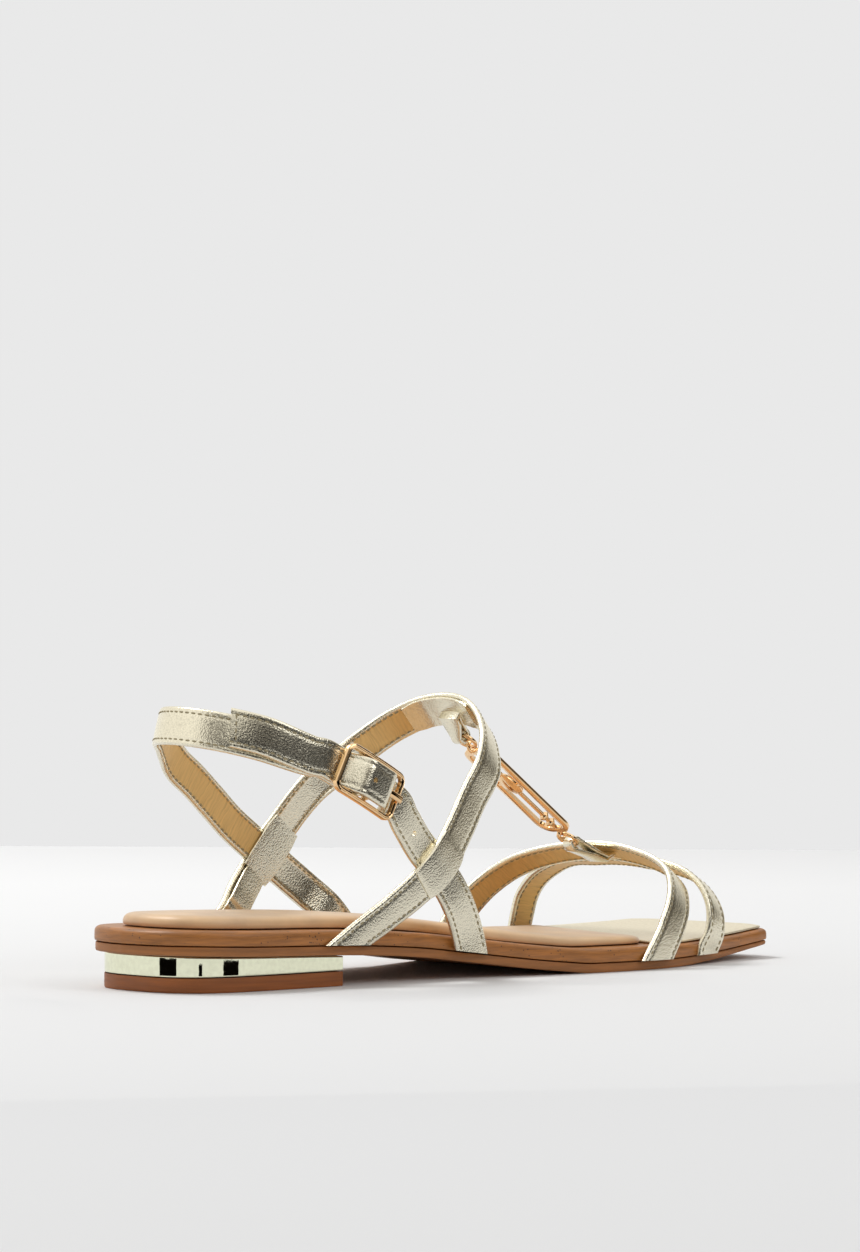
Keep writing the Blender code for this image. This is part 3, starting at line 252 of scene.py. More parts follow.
FRONT_VAMP_ROUTE = (
    StrapRow(0.834, LATERAL_RIM, -0.055, 0.86, 0.0),
    StrapRow(0.840, LATERAL_RIM, 0.111, 0.86, 0.0),
    StrapRow(0.848, -0.453, 0.278, 0.86, 0.0),
    StrapRow(0.854, -0.437, 0.472, 0.86, 0.0),
    StrapRow(0.857, -0.393, 0.619, 0.86, 0.0),
    StrapRow(0.857, -0.321, 0.744, 0.86, 0.0),
    StrapRow(0.853, -0.214, 0.833, 0.86, -0.2),
    StrapRow(0.844, -0.071, 0.886, 0.86, -0.4),
    StrapRow(0.839, 0.048, 0.890, 0.86, -0.4),
    StrapRow(0.837, 0.167, 0.869, 0.86, -0.3),
    StrapRow(0.837, 0.262, 0.839, 0.86, 0.0),
    StrapRow(0.838, 0.357, 0.767, 0.86, 0.0),
    StrapRow(0.838, 0.433, 0.658, 0.86, 0.0),
    StrapRow(0.838, 0.486, 0.514, 0.86, 0.0),
    StrapRow(0.836, 0.508, 0.333, 0.86, 0.0),
    StrapRow(0.832, MEDIAL_RIM, 0.139, 0.86, 0.0),
    StrapRow(0.828, MEDIAL_RIM, -0.055, 0.86, 0.0),
)
BUCKLE_ROW = 7
INSTEP_TOP_ROW = 10
VAMP_TOP_ROW = 7

# The inside of the foot that a strap faces: low and high shares of length, ball width and rise
Core = namedtuple("Core", "length width rise")
INSTEP_CORE = Core((0.238, 0.488), (0.0, 0.0), (0.10, 0.81))
ANKLE_CORE = Core((0.179, 0.437), (0.0, 0.0), (0.02, 0.810))
REAR_VAMP_CORE = Core((0.596, 0.755), (-0.10, 0.10), (0.0, 0.28))
FRONT_VAMP_CORE = Core((0.596, 0.829), (-0.10, 0.10), (0.0, 0.62))

# Where the straps' tail ends behind the buckle, and the ornament's two ends (length and rise shares)
TAIL_LENGTH = 46.0
TAIL_SLANT = 3.5
TAIL_RISE = 1.6
ORNAMENT_TOP = (0.5490, 0.838)
ORNAMENT_FOOT = (0.7520, 0.430)


Frame = namedtuple("Frame", "point along outward side width lift distance")
Section = namedtuple("Section", "point along side outward half depth distance")


class SandalSettings(bpy.types.PropertyGroup):
    """Sizes and colours that a maker would change."""

    section_step: bpy.props.FloatProperty(
        name="Section step", description="Distance between a strap's sections, in millimetres",
        default=1.0, min=0.3, max=3.0)
    stitch_pitch: bpy.props.FloatProperty(
        name="Stitch pitch", description="Distance between stitches, in millimetres",
        default=2.1, min=1.0, max=4.0)
    stitch_inset: bpy.props.FloatProperty(
        name="Stitch inset", description="Distance of the stitches from a strap's edge, in millimetres",
        default=1.65, min=0.8, max=4.0)
    grain: bpy.props.FloatProperty(
        name="Pebble grain", description="Width of one pebble of the leather's grain, in millimetres",
        default=0.52, min=0.3, max=3.0)
    foil_colour: bpy.props.StringProperty(
        name="Foil colour", description="Colour of the metallic leather", default="#EBE4CF")
    lining_colour: bpy.props.StringProperty(
        name="Lining colour", description="Colour of the straps' lining", default="#DDB878")
    pad_colour: bpy.props.StringProperty(
        name="Footbed colour", description="Colour of the padded footbed", default="#E3BC8D")
    rim_colour: bpy.props.StringProperty(
        name="Rim colour", description="Colour of the wrapped rim", default="#A0652B")
    outsole_colour: bpy.props.StringProperty(
        name="Outsole colour", description="Colour of the outsole's edge", default="#9A6230")
    lift_colour: bpy.props.StringProperty(
        name="Top lift colour", description="Colour of the heel's lift", default="#92521F")
    hardware_colour: bpy.props.StringProperty(
        name="Hardware colour", description="Colour of the buckle and the ornament", default="#F1CB9B")
    heel_colour: bpy.props.StringProperty(
        name="Heel colour", description="Colour of the mirror heel band", default="#E9EBD0")


def settings():
    return bpy.context.scene.sandal_settings


def linear(hex_colour):
    """An sRGB hex colour as a linear colour with alpha."""
    channels = [int(hex_colour[place:place + 2], 16) / 255 for place in (1, 3, 5)]
    return (*[value / 12.92 if value <= 0.04045 else ((value + 0.055) / 1.055)**2.4
              for value in channels], 1.0)


def add(tree, kind, inputs=None, **options):
    """Add one node: inputs are plain values or other nodes' sockets, options are its settings."""
    node = tree.nodes.new(kind)
    for key, value in options.items():
        setattr(node, key, value)
    for key, value in (inputs or {}).items():
        if isinstance(value, bpy.types.NodeSocket):
            tree.links.new(value, node.inputs[key])
        else:
            node.inputs[key].default_value = value
    return node


def ramp(tree, factor, stops):
    """A colour ramp over (place, hex colour) stops."""
    node = add(tree, "ShaderNodeValToRGB", {"Fac": factor})
    elements = node.color_ramp.elements
    while len(elements) < len(stops):
        elements.new(0.5)
    for element, (place, colour) in zip(elements, stops):
        element.position = place
        element.color = linear(colour)
    return node.outputs["Color"]


def shaded(hex_colour, amount):
    """The same colour, darker for an amount under 1 and lighter above it."""
    channels = [min(255, int(int(hex_colour[place:place + 2], 16) * amount)) for place in (1, 3, 5)]
    return "#" + "".join(f"{value:02X}" for value in channels)


def new_material(name):
    material = bpy.data.materials.new(name)
    material.use_nodes = True
    tree = material.node_tree
    return material, tree, tree.nodes["Principled BSDF"]


def mapped(tree, scale=(1.0, 1.0, 1.0)):
    """Object coordinates, in millimetres times a scale."""
    source = add(tree, "ShaderNodeTexCoord").outputs["Object"]
    return add(tree, "ShaderNodeMapping", {"Vector": source, "Scale": [s / MM for s in scale]}).outputs["Vector"]


def foiled_leather():
    """Foil-coated cow leather, tumbled: small pebbles with a satin metallic film that catches light."""
    material, tree, shader = new_material("foiled_pebbled_leather")
    place = mapped(tree)
    pebble = 1.0 / settings().grain
    cells = add(tree, "ShaderNodeTexVoronoi", {"Vector": place, "Scale": pebble, "Smoothness": 0.35},
                feature="SMOOTH_F1")
    fine = add(tree, "ShaderNodeTexNoise", {"Vector": place, "Scale": 2.6, "Detail": 3.0, "Roughness": 0.6})
    broad = add(tree, "ShaderNodeTexNoise", {"Vector": place, "Scale": 0.09, "Detail": 2.0})
    foil = settings().foil_colour
    tone = ramp(tree, cells.outputs["Distance"], ((0.15, shaded(foil, 1.04)), (0.62, shaded(foil, 0.94)),
                                                  (0.95, shaded(foil, 0.80))))
    patch = add(tree, "ShaderNodeMix", {"Factor": broad.outputs["Fac"], "A": linear(shaded(foil, 0.95)),
                                        "B": linear(shaded(foil, 1.05))}, data_type="RGBA")
    colour = add(tree, "ShaderNodeMix", {"Factor": 0.5, "A": tone, "B": patch.outputs["Result"]},
                 data_type="RGBA", blend_type="MIX")
    tree.links.new(colour.outputs["Result"], shader.inputs["Base Color"])
    rough = add(tree, "ShaderNodeMapRange", {"Value": fine.outputs["Fac"], "To Min": 0.18, "To Max": 0.29})
    tree.links.new(rough.outputs["Result"], shader.inputs["Roughness"])
    deep = add(tree, "ShaderNodeBump", {"Height": cells.outputs["Distance"], "Strength": 0.62,
                                        "Distance": 0.09 * MM}, invert=True)
    top = add(tree, "ShaderNodeBump", {"Height": fine.outputs["Fac"], "Strength": 0.4, "Distance": 0.04 * MM,
                                       "Normal": deep.outputs["Normal"]})
    tree.links.new(top.outputs["Normal"], shader.inputs["Normal"])
    shader.inputs["Metallic"].default_value = 0.96
    return material


def strap_lining():
    """Glazed sheepskin lining: tan with a soft sheen and fine creases across the strap."""
    material, tree, shader = new_material("glazed_lining_leather")
    along = add(tree, "ShaderNodeAttribute", attribute_name="along")
    across = add(tree, "ShaderNodeAttribute", attribute_name="across")
    place = mapped(tree)
    drift = add(tree, "ShaderNodeTexNoise", {"Vector": place, "Scale": 0.35, "Detail": 2.0})
    shift = add(tree, "ShaderNodeMath", {0: drift.outputs["Fac"], 1: 1.6}, operation="MULTIPLY")
    slide = add(tree, "ShaderNodeMath", {0: along.outputs["Fac"], 1: shift.outputs["Value"]}, operation="ADD")
    stretch = add(tree, "ShaderNodeMath", {0: across.outputs["Fac"], 1: 0.05}, operation="MULTIPLY")
    spot = add(tree, "ShaderNodeCombineXYZ", {"X": slide.outputs["Value"], "Y": stretch.outputs["Value"]})
    crease = add(tree, "ShaderNodeTexNoise", {"Vector": spot.outputs["Vector"], "Scale": 1.5, "Detail": 3.0,
                                              "Roughness": 0.55})
    tan = settings().lining_colour
    tone = ramp(tree, crease.outputs["Fac"], ((0.3, shaded(tan, 0.92)), (0.5, tan), (0.7, shaded(tan, 1.05))))
    tree.links.new(tone, shader.inputs["Base Color"])
    bump = add(tree, "ShaderNodeBump", {"Height": crease.outputs["Fac"], "Strength": 0.35, "Distance": 0.1 * MM})
    tree.links.new(bump.outputs["Normal"], shader.inputs["Normal"])
    shader.inputs["Metallic"].default_value = 0.45
    shader.inputs["Roughness"].default_value = 0.42
    return material


def waxed_thread():
    """Waxed polyester sewing thread: a low round strand, partly its own colour and partly painted shade, darker than
    the pale thread to stand in for the shadow in its needle holes.
    """
    material, tree, shader = new_material("waxed_thread")
    ply = add(tree, "ShaderNodeTexNoise", {"Vector": mapped(tree), "Scale": 4.0, "Detail": 1.0})
    # Thread colour with painted shade: these tones are darker than the real pale thread, copying the shadow in the
    # stitch holes
    tone = ramp(tree, ply.outputs["Fac"], ((0.3, "#84785A"), (0.7, "#AB9D7A")))
    tree.links.new(tone, shader.inputs["Base Color"])
    shader.inputs["Roughness"].default_value = 0.55
    return material


def footbed_leather():
    """Aniline calf over foam: smooth and tan, with a soft sheen and very fine pores."""
    material, tree, shader = new_material("smooth_footbed_leather")
    place = mapped(tree)
    cloud = add(tree, "ShaderNodeTexNoise", {"Vector": place, "Scale": 0.05, "Detail": 4.0, "Roughness": 0.55})
    pores = add(tree, "ShaderNodeTexVoronoi", {"Vector": place, "Scale": 2.2})
    skin = add(tree, "ShaderNodeTexNoise", {"Vector": place, "Scale": 1.4, "Detail": 4.0})
    tan = settings().pad_colour
    tone = ramp(tree, cloud.outputs["Fac"], ((0.3, shaded(tan, 0.93)), (0.5, tan), (0.72, shaded(tan, 1.07))))
    tree.links.new(tone, shader.inputs["Base Color"])
    rough = add(tree, "ShaderNodeMapRange", {"Value": skin.outputs["Fac"], "To Min": 0.36, "To Max": 0.5})
    tree.links.new(rough.outputs["Result"], shader.inputs["Roughness"])
    low = add(tree, "ShaderNodeBump", {"Height": pores.outputs["Distance"], "Strength": 0.12,
                                       "Distance": 0.05 * MM})
    top = add(tree, "ShaderNodeBump", {"Height": skin.outputs["Fac"], "Strength": 0.15, "Distance": 0.1 * MM,
                                       "Normal": low.outputs["Normal"]})
    tree.links.new(top.outputs["Normal"], shader.inputs["Normal"])
    shader.inputs["Sheen Weight"].default_value = 0.3
    shader.inputs["Specular IOR Level"].default_value = 0.6
    shader.inputs["Coat Weight"].default_value = 0.25
    shader.inputs["Coat Roughness"].default_value = 0.38
    return material


def rim_leather():
    """Wrapped rim, burnished: tan with small dark pores and streaks along the edge."""
    material, tree, shader = new_material("burnished_rim_leather")
    place = mapped(tree)
    pores = add(tree, "ShaderNodeTexVoronoi", {"Vector": place, "Scale": 0.85, "Randomness": 1.0})
    mask = add(tree, "ShaderNodeTexNoise", {"Vector": place, "Scale": 0.22, "Detail": 3.0})
    few = add(tree, "ShaderNodeMapRange", {"Value": mask.outputs["Fac"], "From Min": 0.45, "From Max": 0.62,
                                           "To Min": 0.0, "To Max": 0.20})
    spot = add(tree, "ShaderNodeMath", {0: pores.outputs["Distance"], 1: few.outputs["Result"]},
               operation="LESS_THAN")
    stretched = mapped(tree, (0.12, 0.12, 1.4))
    streak = add(tree, "ShaderNodeTexNoise", {"Vector": stretched, "Scale": 1.0, "Detail": 4.0})
    tan = settings().rim_colour
    base = ramp(tree, streak.outputs["Fac"], ((0.3, shaded(tan, 0.88)), (0.5, tan), (0.7, shaded(tan, 1.12))))
    colour = add(tree, "ShaderNodeMix", {"Factor": spot.outputs["Value"], "A": base,
                                         "B": linear(shaded(tan, 0.45))}, data_type="RGBA")
    tree.links.new(colour.outputs["Result"], shader.inputs["Base Color"])
    fine = add(tree, "ShaderNodeTexNoise", {"Vector": place, "Scale": 2.0, "Detail": 3.0})
    bump = add(tree, "ShaderNodeBump", {"Height": fine.outputs["Fac"], "Strength": 0.2, "Distance": 0.08 * MM})
    pit = add(tree, "ShaderNodeBump", {"Height": spot.outputs["Value"], "Strength": 0.5,
                                       "Distance": 0.08 * MM, "Normal": bump.outputs["Normal"]}, invert=True)
    tree.links.new(pit.outputs["Normal"], shader.inputs["Normal"])
    shader.inputs["Roughness"].default_value = 0.42
    shader.inputs["Coat Weight"].default_value = 0.06
    shader.inputs["Coat Roughness"].default_value = 0.3
    return material


def moulded_rubber(name, colour):
    """Moulded thermoplastic rubber: dull, with a fine matt grain from the mould."""
    material, tree, shader = new_material(name)
    place = mapped(tree)
    grain = add(tree, "ShaderNodeTexNoise", {"Vector": place, "Scale": 1.8, "Detail": 4.0})
    layer = add(tree, "ShaderNodeTexNoise", {"Vector": mapped(tree, (0.05, 0.05, 1.0)), "Scale": 1.0, "Detail": 3.0})
    tone = ramp(tree, layer.outputs["Fac"], ((0.3, shaded(colour, 0.9)), (0.7, shaded(colour, 1.08))))
    tree.links.new(tone, shader.inputs["Base Color"])
    bump = add(tree, "ShaderNodeBump", {"Height": grain.outputs["Fac"], "Strength": 0.25, "Distance": 0.08 * MM})
    tree.links.new(bump.outputs["Normal"], shader.inputs["Normal"])
    rough = add(tree, "ShaderNodeMapRange", {"Value": grain.outputs["Fac"], "To Min": 0.42, "To Max": 0.6})
    tree.links.new(rough.outputs["Result"], shader.inputs["Roughness"])
    return material


def toe_panel_leather():
    """Smooth foil leather of the toe panel: pale gold and less grained than the straps."""
    material, tree, shader = new_material("smooth_foil_leather")
    place = mapped(tree)
    skin = add(tree, "ShaderNodeTexNoise", {"Vector": place, "Scale": 1.1, "Detail": 4.0})
    tone = ramp(tree, skin.outputs["Fac"], ((0.3, "#DDD2B6"), (0.7, "#EEE5CD")))
    tree.links.new(tone, shader.inputs["Base Color"])
    bump = add(tree, "ShaderNodeBump", {"Height": skin.outputs["Fac"], "Strength": 0.2, "Distance": 0.08 * MM})
    tree.links.new(bump.outputs["Normal"], shader.inputs["Normal"])
    shader.inputs["Metallic"].default_value = 0.7
    shader.inputs["Roughness"].default_value = 0.38
    return material


def plated_metal(name, colour, roughness):
    """Electroplated and polished casting: a mirror with a breath of waviness."""
    material, tree, shader = new_material(name)
    place = mapped(tree)
    film = add(tree, "ShaderNodeTexNoise", {"Vector": place, "Scale": 0.7, "Detail": 2.0})
    tone = ramp(tree, film.outputs["Fac"], ((0.3, shaded(colour, 0.97)), (0.7, shaded(colour, 1.02))))
    tree.links.new(tone, shader.inputs["Base Color"])
    rough = add(tree, "ShaderNodeMapRange", {"Value": film.outputs["Fac"], "To Min": roughness * 0.8,
                                             "To Max": roughness * 1.3})
    tree.links.new(rough.outputs["Result"], shader.inputs["Roughness"])
    bump = add(tree, "ShaderNodeBump", {"Height": film.outputs["Fac"], "Strength": 0.08, "Distance": 0.1 * MM})
    tree.links.new(bump.outputs["Normal"], shader.inputs["Normal"])
    shader.inputs["Metallic"].default_value = 1.0
    return material


MAKERS = {
    "foil": foiled_leather,
    "lining": strap_lining,
    "thread": waxed_thread,
    "footbed": footbed_leather,
    "rim": rim_leather,
    "outsole": lambda: moulded_rubber("moulded_outsole_rubber", settings().outsole_colour),
    "lift": lambda: moulded_rubber("moulded_lift_rubber", settings().lift_colour),
    "toe": toe_panel_leather,
    "heel": lambda: plated_metal("mirror_plated_heel", settings().heel_colour, 0.035),
    "hardware": lambda: plated_metal("rose_gold_plating", settings().hardware_colour, 0.045),
}
FINISHES = {}


def finish(name):
    """The named material, made the first time it is asked for."""
    if name not in FINISHES:
        FINISHES[name] = MAKERS[name]()
    return FINISHES[name]


def keep(name, bm, finishes, nodes):
    """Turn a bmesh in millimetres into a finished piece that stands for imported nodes."""
    bmesh.ops.transform(bm, matrix=Matrix.Scale(MM, 4) @ Matrix.Translation((-HEEL_MIDDLE, 0, 0)), verts=bm.verts)
    data = bpy.data.meshes.new(name)
    bm.to_mesh(data)
    bm.free()
    data.shade_smooth()
    data.set_sharp_from_angle(angle=math.radians(38))
    piece = bpy.data.objects.new(name, data)
    bpy.context.scene.collection.objects.link(piece)
    for label in finishes:
        data.materials.append(finish(label))
    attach(piece, "root")
    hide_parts(*nodes)
    return piece


# --- shared shaping ----------------------------------------------------------------------------

def smooth(rows, steps):
    """Curve through the rows, with slopes weighted by the distance between neighbours."""
    rows = np.asarray(rows, dtype=float)
    spans = np.linalg.norm(np.diff(rows[:, :3], axis=0), axis=1)
    slopes = np.diff(rows, axis=0) / spans[:, None]
    inner = slopes[:-1] * spans[1:, None] + slopes[1:] * spans[:-1, None]
    inner = inner / (spans[:-1] + spans[1:])[:, None]
    tangents = np.vstack((slopes[:1], inner, slopes[-1:]))
    points = []
    for index, span in enumerate(spans):
        for t in np.arange(steps) / steps:
            start = (2 * t**3 - 3 * t**2 + 1) * rows[index]
            start = start + (t**3 - 2 * t**2 + t) * span * tangents[index]
            end = (3 * t**2 - 2 * t**3) * rows[index + 1]
            end = end + (t**3 - t**2) * span * tangents[index + 1]
            points.append(start + end)
    points.append(rows[-1])
    return np.array(points)


def table_value(rows, column, station):
    """A table's column at a station, on a curve that never overshoots its rows."""
    stations = [row.station for row in rows]
    values = [getattr(row, column) for row in rows]
    slopes = np.diff(values) / np.diff(stations)
    tangents = [0.0] + [0.0 if a * b <= 0 else 2 * a * b / (a + b) for a, b in zip(slopes, slopes[1:])]
    tangents.append(slopes[-1])
    index = int(np.clip(np.searchsorted(stations, station) - 1, 0, len(slopes) - 1))
    span = stations[index + 1] - stations[index]
    t = min(max((station - stations[index]) / span, 0.0), 1.0)
    start = (2 * t**3 - 3 * t**2 + 1) * values[index] + (t**3 - 2 * t**2 + t) * span * tangents[index]
    end = (3 * t**2 - 2 * t**3) * values[index + 1] + (t**3 - t**2) * span * tangents[index + 1]
    return start + end


def ease(value):
    """Smooth step from 0 to 1."""
    value = min(max(value, 0.0), 1.0)
    return value * value * (3 - 2 * value)


def outsole_bottom(x):
    station = x / LENGTH
    heel = HEEL_HEIGHT * table_value(SOLE_LINE, "heel", station)
    return heel + TOE_SPRING * table_value(SOLE_LINE, "toe", station)


def seam_height(x):
    return outsole_bottom(x) + OUTSOLE_THICKNESS * table_value(SOLE_LINE, "thickness", x / LENGTH)


def rim_top(x):
    return seam_height(x) + CLEARANCE + MIDSOLE_HEIGHT * table_value(SOLE_LINE, "rim", x / LENGTH)


def sole_plan():
    """Both sides of the sole's outline, from the middle of the heel to the middle of the toe."""
    sides = []
    for column, direction in (("lateral", -1), ("medial", 1)):
        rows = []
        for row in SOLE_PLAN:
            half = getattr(row, column) * BALL_WIDTH
            slant = TOE_SLANT * ease((row.station - 0.88) / 0.12) * half / (BALL_WIDTH / 2) * (direction + 1) / 2
            rows.append((row.station * LENGTH - slant, direction * half, 0.0))
        sides.append(smooth(rows, SIDE_STEPS)[:, :2])
    return sides


def loop_of(plan):
    """One closed loop from the two sides, which share their first and last points."""
    lateral, medial = plan
    return np.vstack((lateral, medial[-2:0:-1]))


def inset_plan(plan, inset):
    """The outline moved inward by an inset, or outward where the inset is negative."""
    loop = loop_of(plan)
    run = np.roll(loop, -1, axis=0) - np.roll(loop, 1, axis=0)
    run = run / np.linalg.norm(run, axis=1)[:, None]
    loop = loop + inset * np.column_stack((-run[:, 1], run[:, 0]))
    count = len(plan[0])
    lateral = loop[:count]
    medial = np.vstack((loop[:1], loop[:count - 2:-1]))
    return lateral, medial


def edge_across(x, side):
    """The y of the sole's edge at x, on the lateral or the medial side."""
    line = sole_plan()[0 if side == LATERAL_RIM else 1]
    front = int(np.argmax(line[:, 0]))
    return float(np.interp(x, line[:front + 1, 0], line[:front + 1, 1]))


def resample(points, count):
    """The same line with evenly spaced points."""
    points = np.asarray(points)
    lengths = np.concatenate(([0.0], np.cumsum(np.linalg.norm(np.diff(points, axis=0), axis=1))))
    places = np.linspace(0.0, lengths[-1], count)
    return np.column_stack([np.interp(places, lengths, points[:, axis]) for axis in range(2)])


def rounded_corner(before, corner, after, radius, steps=6):
    """Points of a soft corner between two straight runs."""
    start = corner + (before - corner) * radius / np.linalg.norm(before - corner)
    end = corner + (after - corner) * radius / np.linalg.norm(after - corner)
    times = np.linspace(0.0, 1.0, steps)[:, None]
    return (1 - times)**2 * start + 2 * times * (1 - times) * corner + times**2 * end


def strap_frames(route, core, height):
    """Frames along a strap's route: its point, direction, outward side and width at even steps."""
    places = []
    for row in route:
        x = row.station * LENGTH
        if row.across in (LATERAL_RIM, MEDIAL_RIM):
            edge = edge_across(x, row.across)
            y = edge + math.copysign(CLEARANCE + STRAP_THICKNESS / 2, edge)
        else:
            y = row.across * BALL_WIDTH
        places.append((x, y, row.rise * height, row.width * STRAP_WIDTH, row.lift * STRAP_THICKNESS))
    line = smooth(places, 12)
    lengths = np.concatenate(([0.0], np.cumsum(np.linalg.norm(np.diff(line[:, :3], axis=0), axis=1))))
    low = np.array((core.length[0] * LENGTH, core.width[0] * BALL_WIDTH, core.rise[0] * height))
    high = np.array((core.length[1] * LENGTH, core.width[1] * BALL_WIDTH, core.rise[1] * height))
    frames = []
    for index, place in enumerate(line):
        ahead = line[min(index + 1, len(line) - 1), :3]
        behind = line[max(index - 1, 0), :3]
        along = Vector(ahead - behind).normalized()
        outward = Vector(place[:3] - np.clip(place[:3], low, high))
        outward = (outward - along * outward.dot(along)).normalized()
        side = outward.cross(along)
        frames.append(Frame(Vector(place[:3]), along, outward, side, place[3], place[4], lengths[index]))
    return frames


def frame_at(frames, distance):
    """The frame at a distance along the strap."""
    lengths = [frame.distance for frame in frames]
    index = int(np.clip(np.searchsorted(lengths, distance) - 1, 0, len(frames) - 2))
    low, high = frames[index], frames[index + 1]
    share = min(max((distance - low.distance) / (high.distance - low.distance), 0.0), 1.0)
    return Frame(low.point.lerp(high.point, share), low.along.lerp(high.along, share).normalized(),
                 low.outward.lerp(high.outward, share).normalized(),
                 low.side.lerp(high.side, share).normalized(),
                 low.width + (high.width - low.width) * share,
                 low.lift + (high.lift - low.lift) * share, distance)


def straightened(frames, centre, half):
    """The same strap with a straight run of twice `half` around a distance, for the buckle."""
    start, end = frame_at(frames, centre - half), frame_at(frames, centre + half)
    along = (end.point - start.point).normalized()
    outward = frame_at(frames, centre).outward
    outward = (outward - along * outward.dot(along)).normalized()
    seat = Frame((start.point + end.point) / 2, along, outward, outward.cross(along), 0.0, 0.0, centre)
    result = []
    for frame in frames:
        offset = frame.distance - centre
        share = 1.0 - ease((abs(offset) - half) / (half * STRAIGHT_BLEND))
        straight = seat.point + seat.along * offset + seat.outward * bow(offset)
        result.append(Frame(frame.point.lerp(straight, share),
                            frame.along.lerp(seat.along, share).normalized(),
                            frame.outward.lerp(seat.outward, share).normalized(),
                            frame.side.lerp(seat.side, share).normalized(),
                            frame.width, frame.lift, frame.distance))
    return result


def raised(base, height):
    return lambda x: base(x) + height


def split_plan(inset, keep_rear, count):
    """Outline of the insole behind or in front of the ball line, with rounded corners on that line."""
    ends = [np.array((share * LENGTH, edge_across(share * LENGTH, side))) for share, side in
            ((PAD_FRONT_LATERAL, LATERAL_RIM), (PAD_FRONT_MEDIAL, MEDIAL_RIM))]
    across = (ends[1] - ends[0]) / np.linalg.norm(ends[1] - ends[0])
    forward = np.array((across[1], -across[0]))
    direction = -1 if keep_rear else 1
    gap = direction * CLEARANCE / 2
    sides = inset_plan(sole_plan(), inset)
    corners = []
    for side in sides:
        ahead = (side - ends[0]) @ forward
        front = int(np.argmax(ahead))
        corners.append(np.array([np.interp(gap, ahead[:front + 1], side[:front + 1, axis]) for axis in range(2)]))
    middle = (corners[0] + corners[1]) / 2
    plan = []
    for side, corner in zip(sides, corners):
        beyond = ((side - ends[0]) @ forward - gap) * direction
        front = int(np.argmax(beyond > PANEL_CORNER))
        run = side[beyond > PANEL_CORNER] if keep_rear else side[front:]
        if keep_rear:
            line = np.vstack((run, rounded_corner(run[-1], corner, middle, PANEL_CORNER, 9), middle))
        else:
            line = np.vstack((middle, rounded_corner(middle, corner, run[0], PANEL_CORNER, 9), run))
        plan.append(resample(line, count))
    return plan


def heel_plan(inset):
    """The D-shaped outline of the heel block, with a straight breast, moved inward by an inset."""
    block = HEEL_BREAST - HEEL_INSET - 2 * inset
    sides = []
    for direction in (-1, 1):
        rows = [(HEEL_INSET + inset + row.station * block, direction * row.half * (HEEL_WIDTH / 2 - inset), 0.0)
                for row in HEEL_PLAN]
        side = smooth(rows, SIDE_STEPS)[:, :2]
        breast = np.column_stack((np.full(6, HEEL_BREAST - inset), np.linspace(side[-1][1], 0.0, 7)[1:]))
        sides.append(np.vstack((side, breast)))
    return sides


def sweep(bm, rings, closed=False):
    """Extrude a closed outline from ring to ring; a closed sweep joins its last ring to its first."""
    first = face = bm.faces.new([bm.verts.new(point) for point in rings[0]])
    rows = [list(face.verts)]
    for ring in rings[1:]:
        made = bmesh.ops.extrude_face_region(bm, geom=[face])
        face = next(item for item in made["geom"] if isinstance(item, bmesh.types.BMFace))
        for vertex, point in zip(face.verts, ring):
            vertex.co = point
        rows.append(list(face.verts))
    caps = [first, face]
    for cap in [item for item in bm.faces if len(item.verts) == len(rings[0]) and item not in caps]:
        if len(rings[0]) > 4:
            bm.faces.remove(cap)
    if closed:
        edges = list(first.edges) + list(face.edges)
        for cap in caps:
            bm.faces.remove(cap)
        bmesh.ops.bridge_loops(bm, edges=edges)
        caps = []
    return rows, caps


def face_outward(bm):
    bmesh.ops.recalc_face_normals(bm, faces=bm.faces)


def layer(bm, outline_at, profile, crown=0.0, crown_run=12.0):
    """A flat layer of the sole: the outline at each inset, at heights that follow the sole's line."""
    rings, count = [], 0
    for inset, height in profile:
        lateral, medial = outline_at(inset)
        count = len(lateral)
        rings.append([Vector((x, y, height(x))) for x, y in np.vstack((lateral, medial[-2:0:-1]))])
    rows, caps = sweep(bm, rings)
    edge = np.array([point[:2] for point in rings[-1]])
    cross = []
    for row, face in zip((rows[0], rows[-1]), caps):
        for place in range(1, count - 1):
            new, loop = bmesh.utils.face_split(face, row[place], row[-place])
            cross.append(loop.edge)
            face = new if row[place + 1] in new.verts else face
    made = bmesh.ops.subdivide_edges(bm, edges=cross, cuts=9, use_grid_fill=True)
    for item in made["geom_inner"]:
        if isinstance(item, bmesh.types.BMVert) and crown and item.co.z > profile[0][1](item.co.x) + 0.5:
            away = float(np.min(np.linalg.norm(edge - np.array(item.co[:2]), axis=1)))
            item.co.z += crown * ease(away / crown_run)
    face_outward(bm)


def sole_layer(name, outline_at, profile, label, node, crown=0.0):
    bm = bmesh.new()
    layer(bm, outline_at, profile, crown)
    return keep(name, bm, [label], [node])


def even_distances(start, end, step):
    return list(np.linspace(start, end, max(2, int(round((end - start) / step)) + 1)))


def placed(frames, distance, offset=0.0, depth=STRAP_THICKNESS / 2, shift=0.0):
    """One section of a strap, moved outward by its lift and an offset, and sideways by a shift."""
    frame = frame_at(frames, distance)
    point = frame.point + frame.outward * (frame.lift + offset) + frame.side * shift
    return Section(point, frame.along, frame.side, frame.outward, frame.width / 2, depth, distance)


def squared(sections):
    """Square each section to the line through its neighbours and number them by real distance."""
    result, distance = [], 0.0
    for index, section in enumerate(sections):
        ahead = sections[min(index + 1, len(sections) - 1)].point
        behind = sections[max(index - 1, 0)].point
        along = (ahead - behind).normalized()
        side = (section.side - along * section.side.dot(along)).normalized()
        if index:
            distance += (section.point - sections[index - 1].point).length
        result.append(Section(section.point, along, side, along.cross(side), section.half, section.depth, distance))
    return result


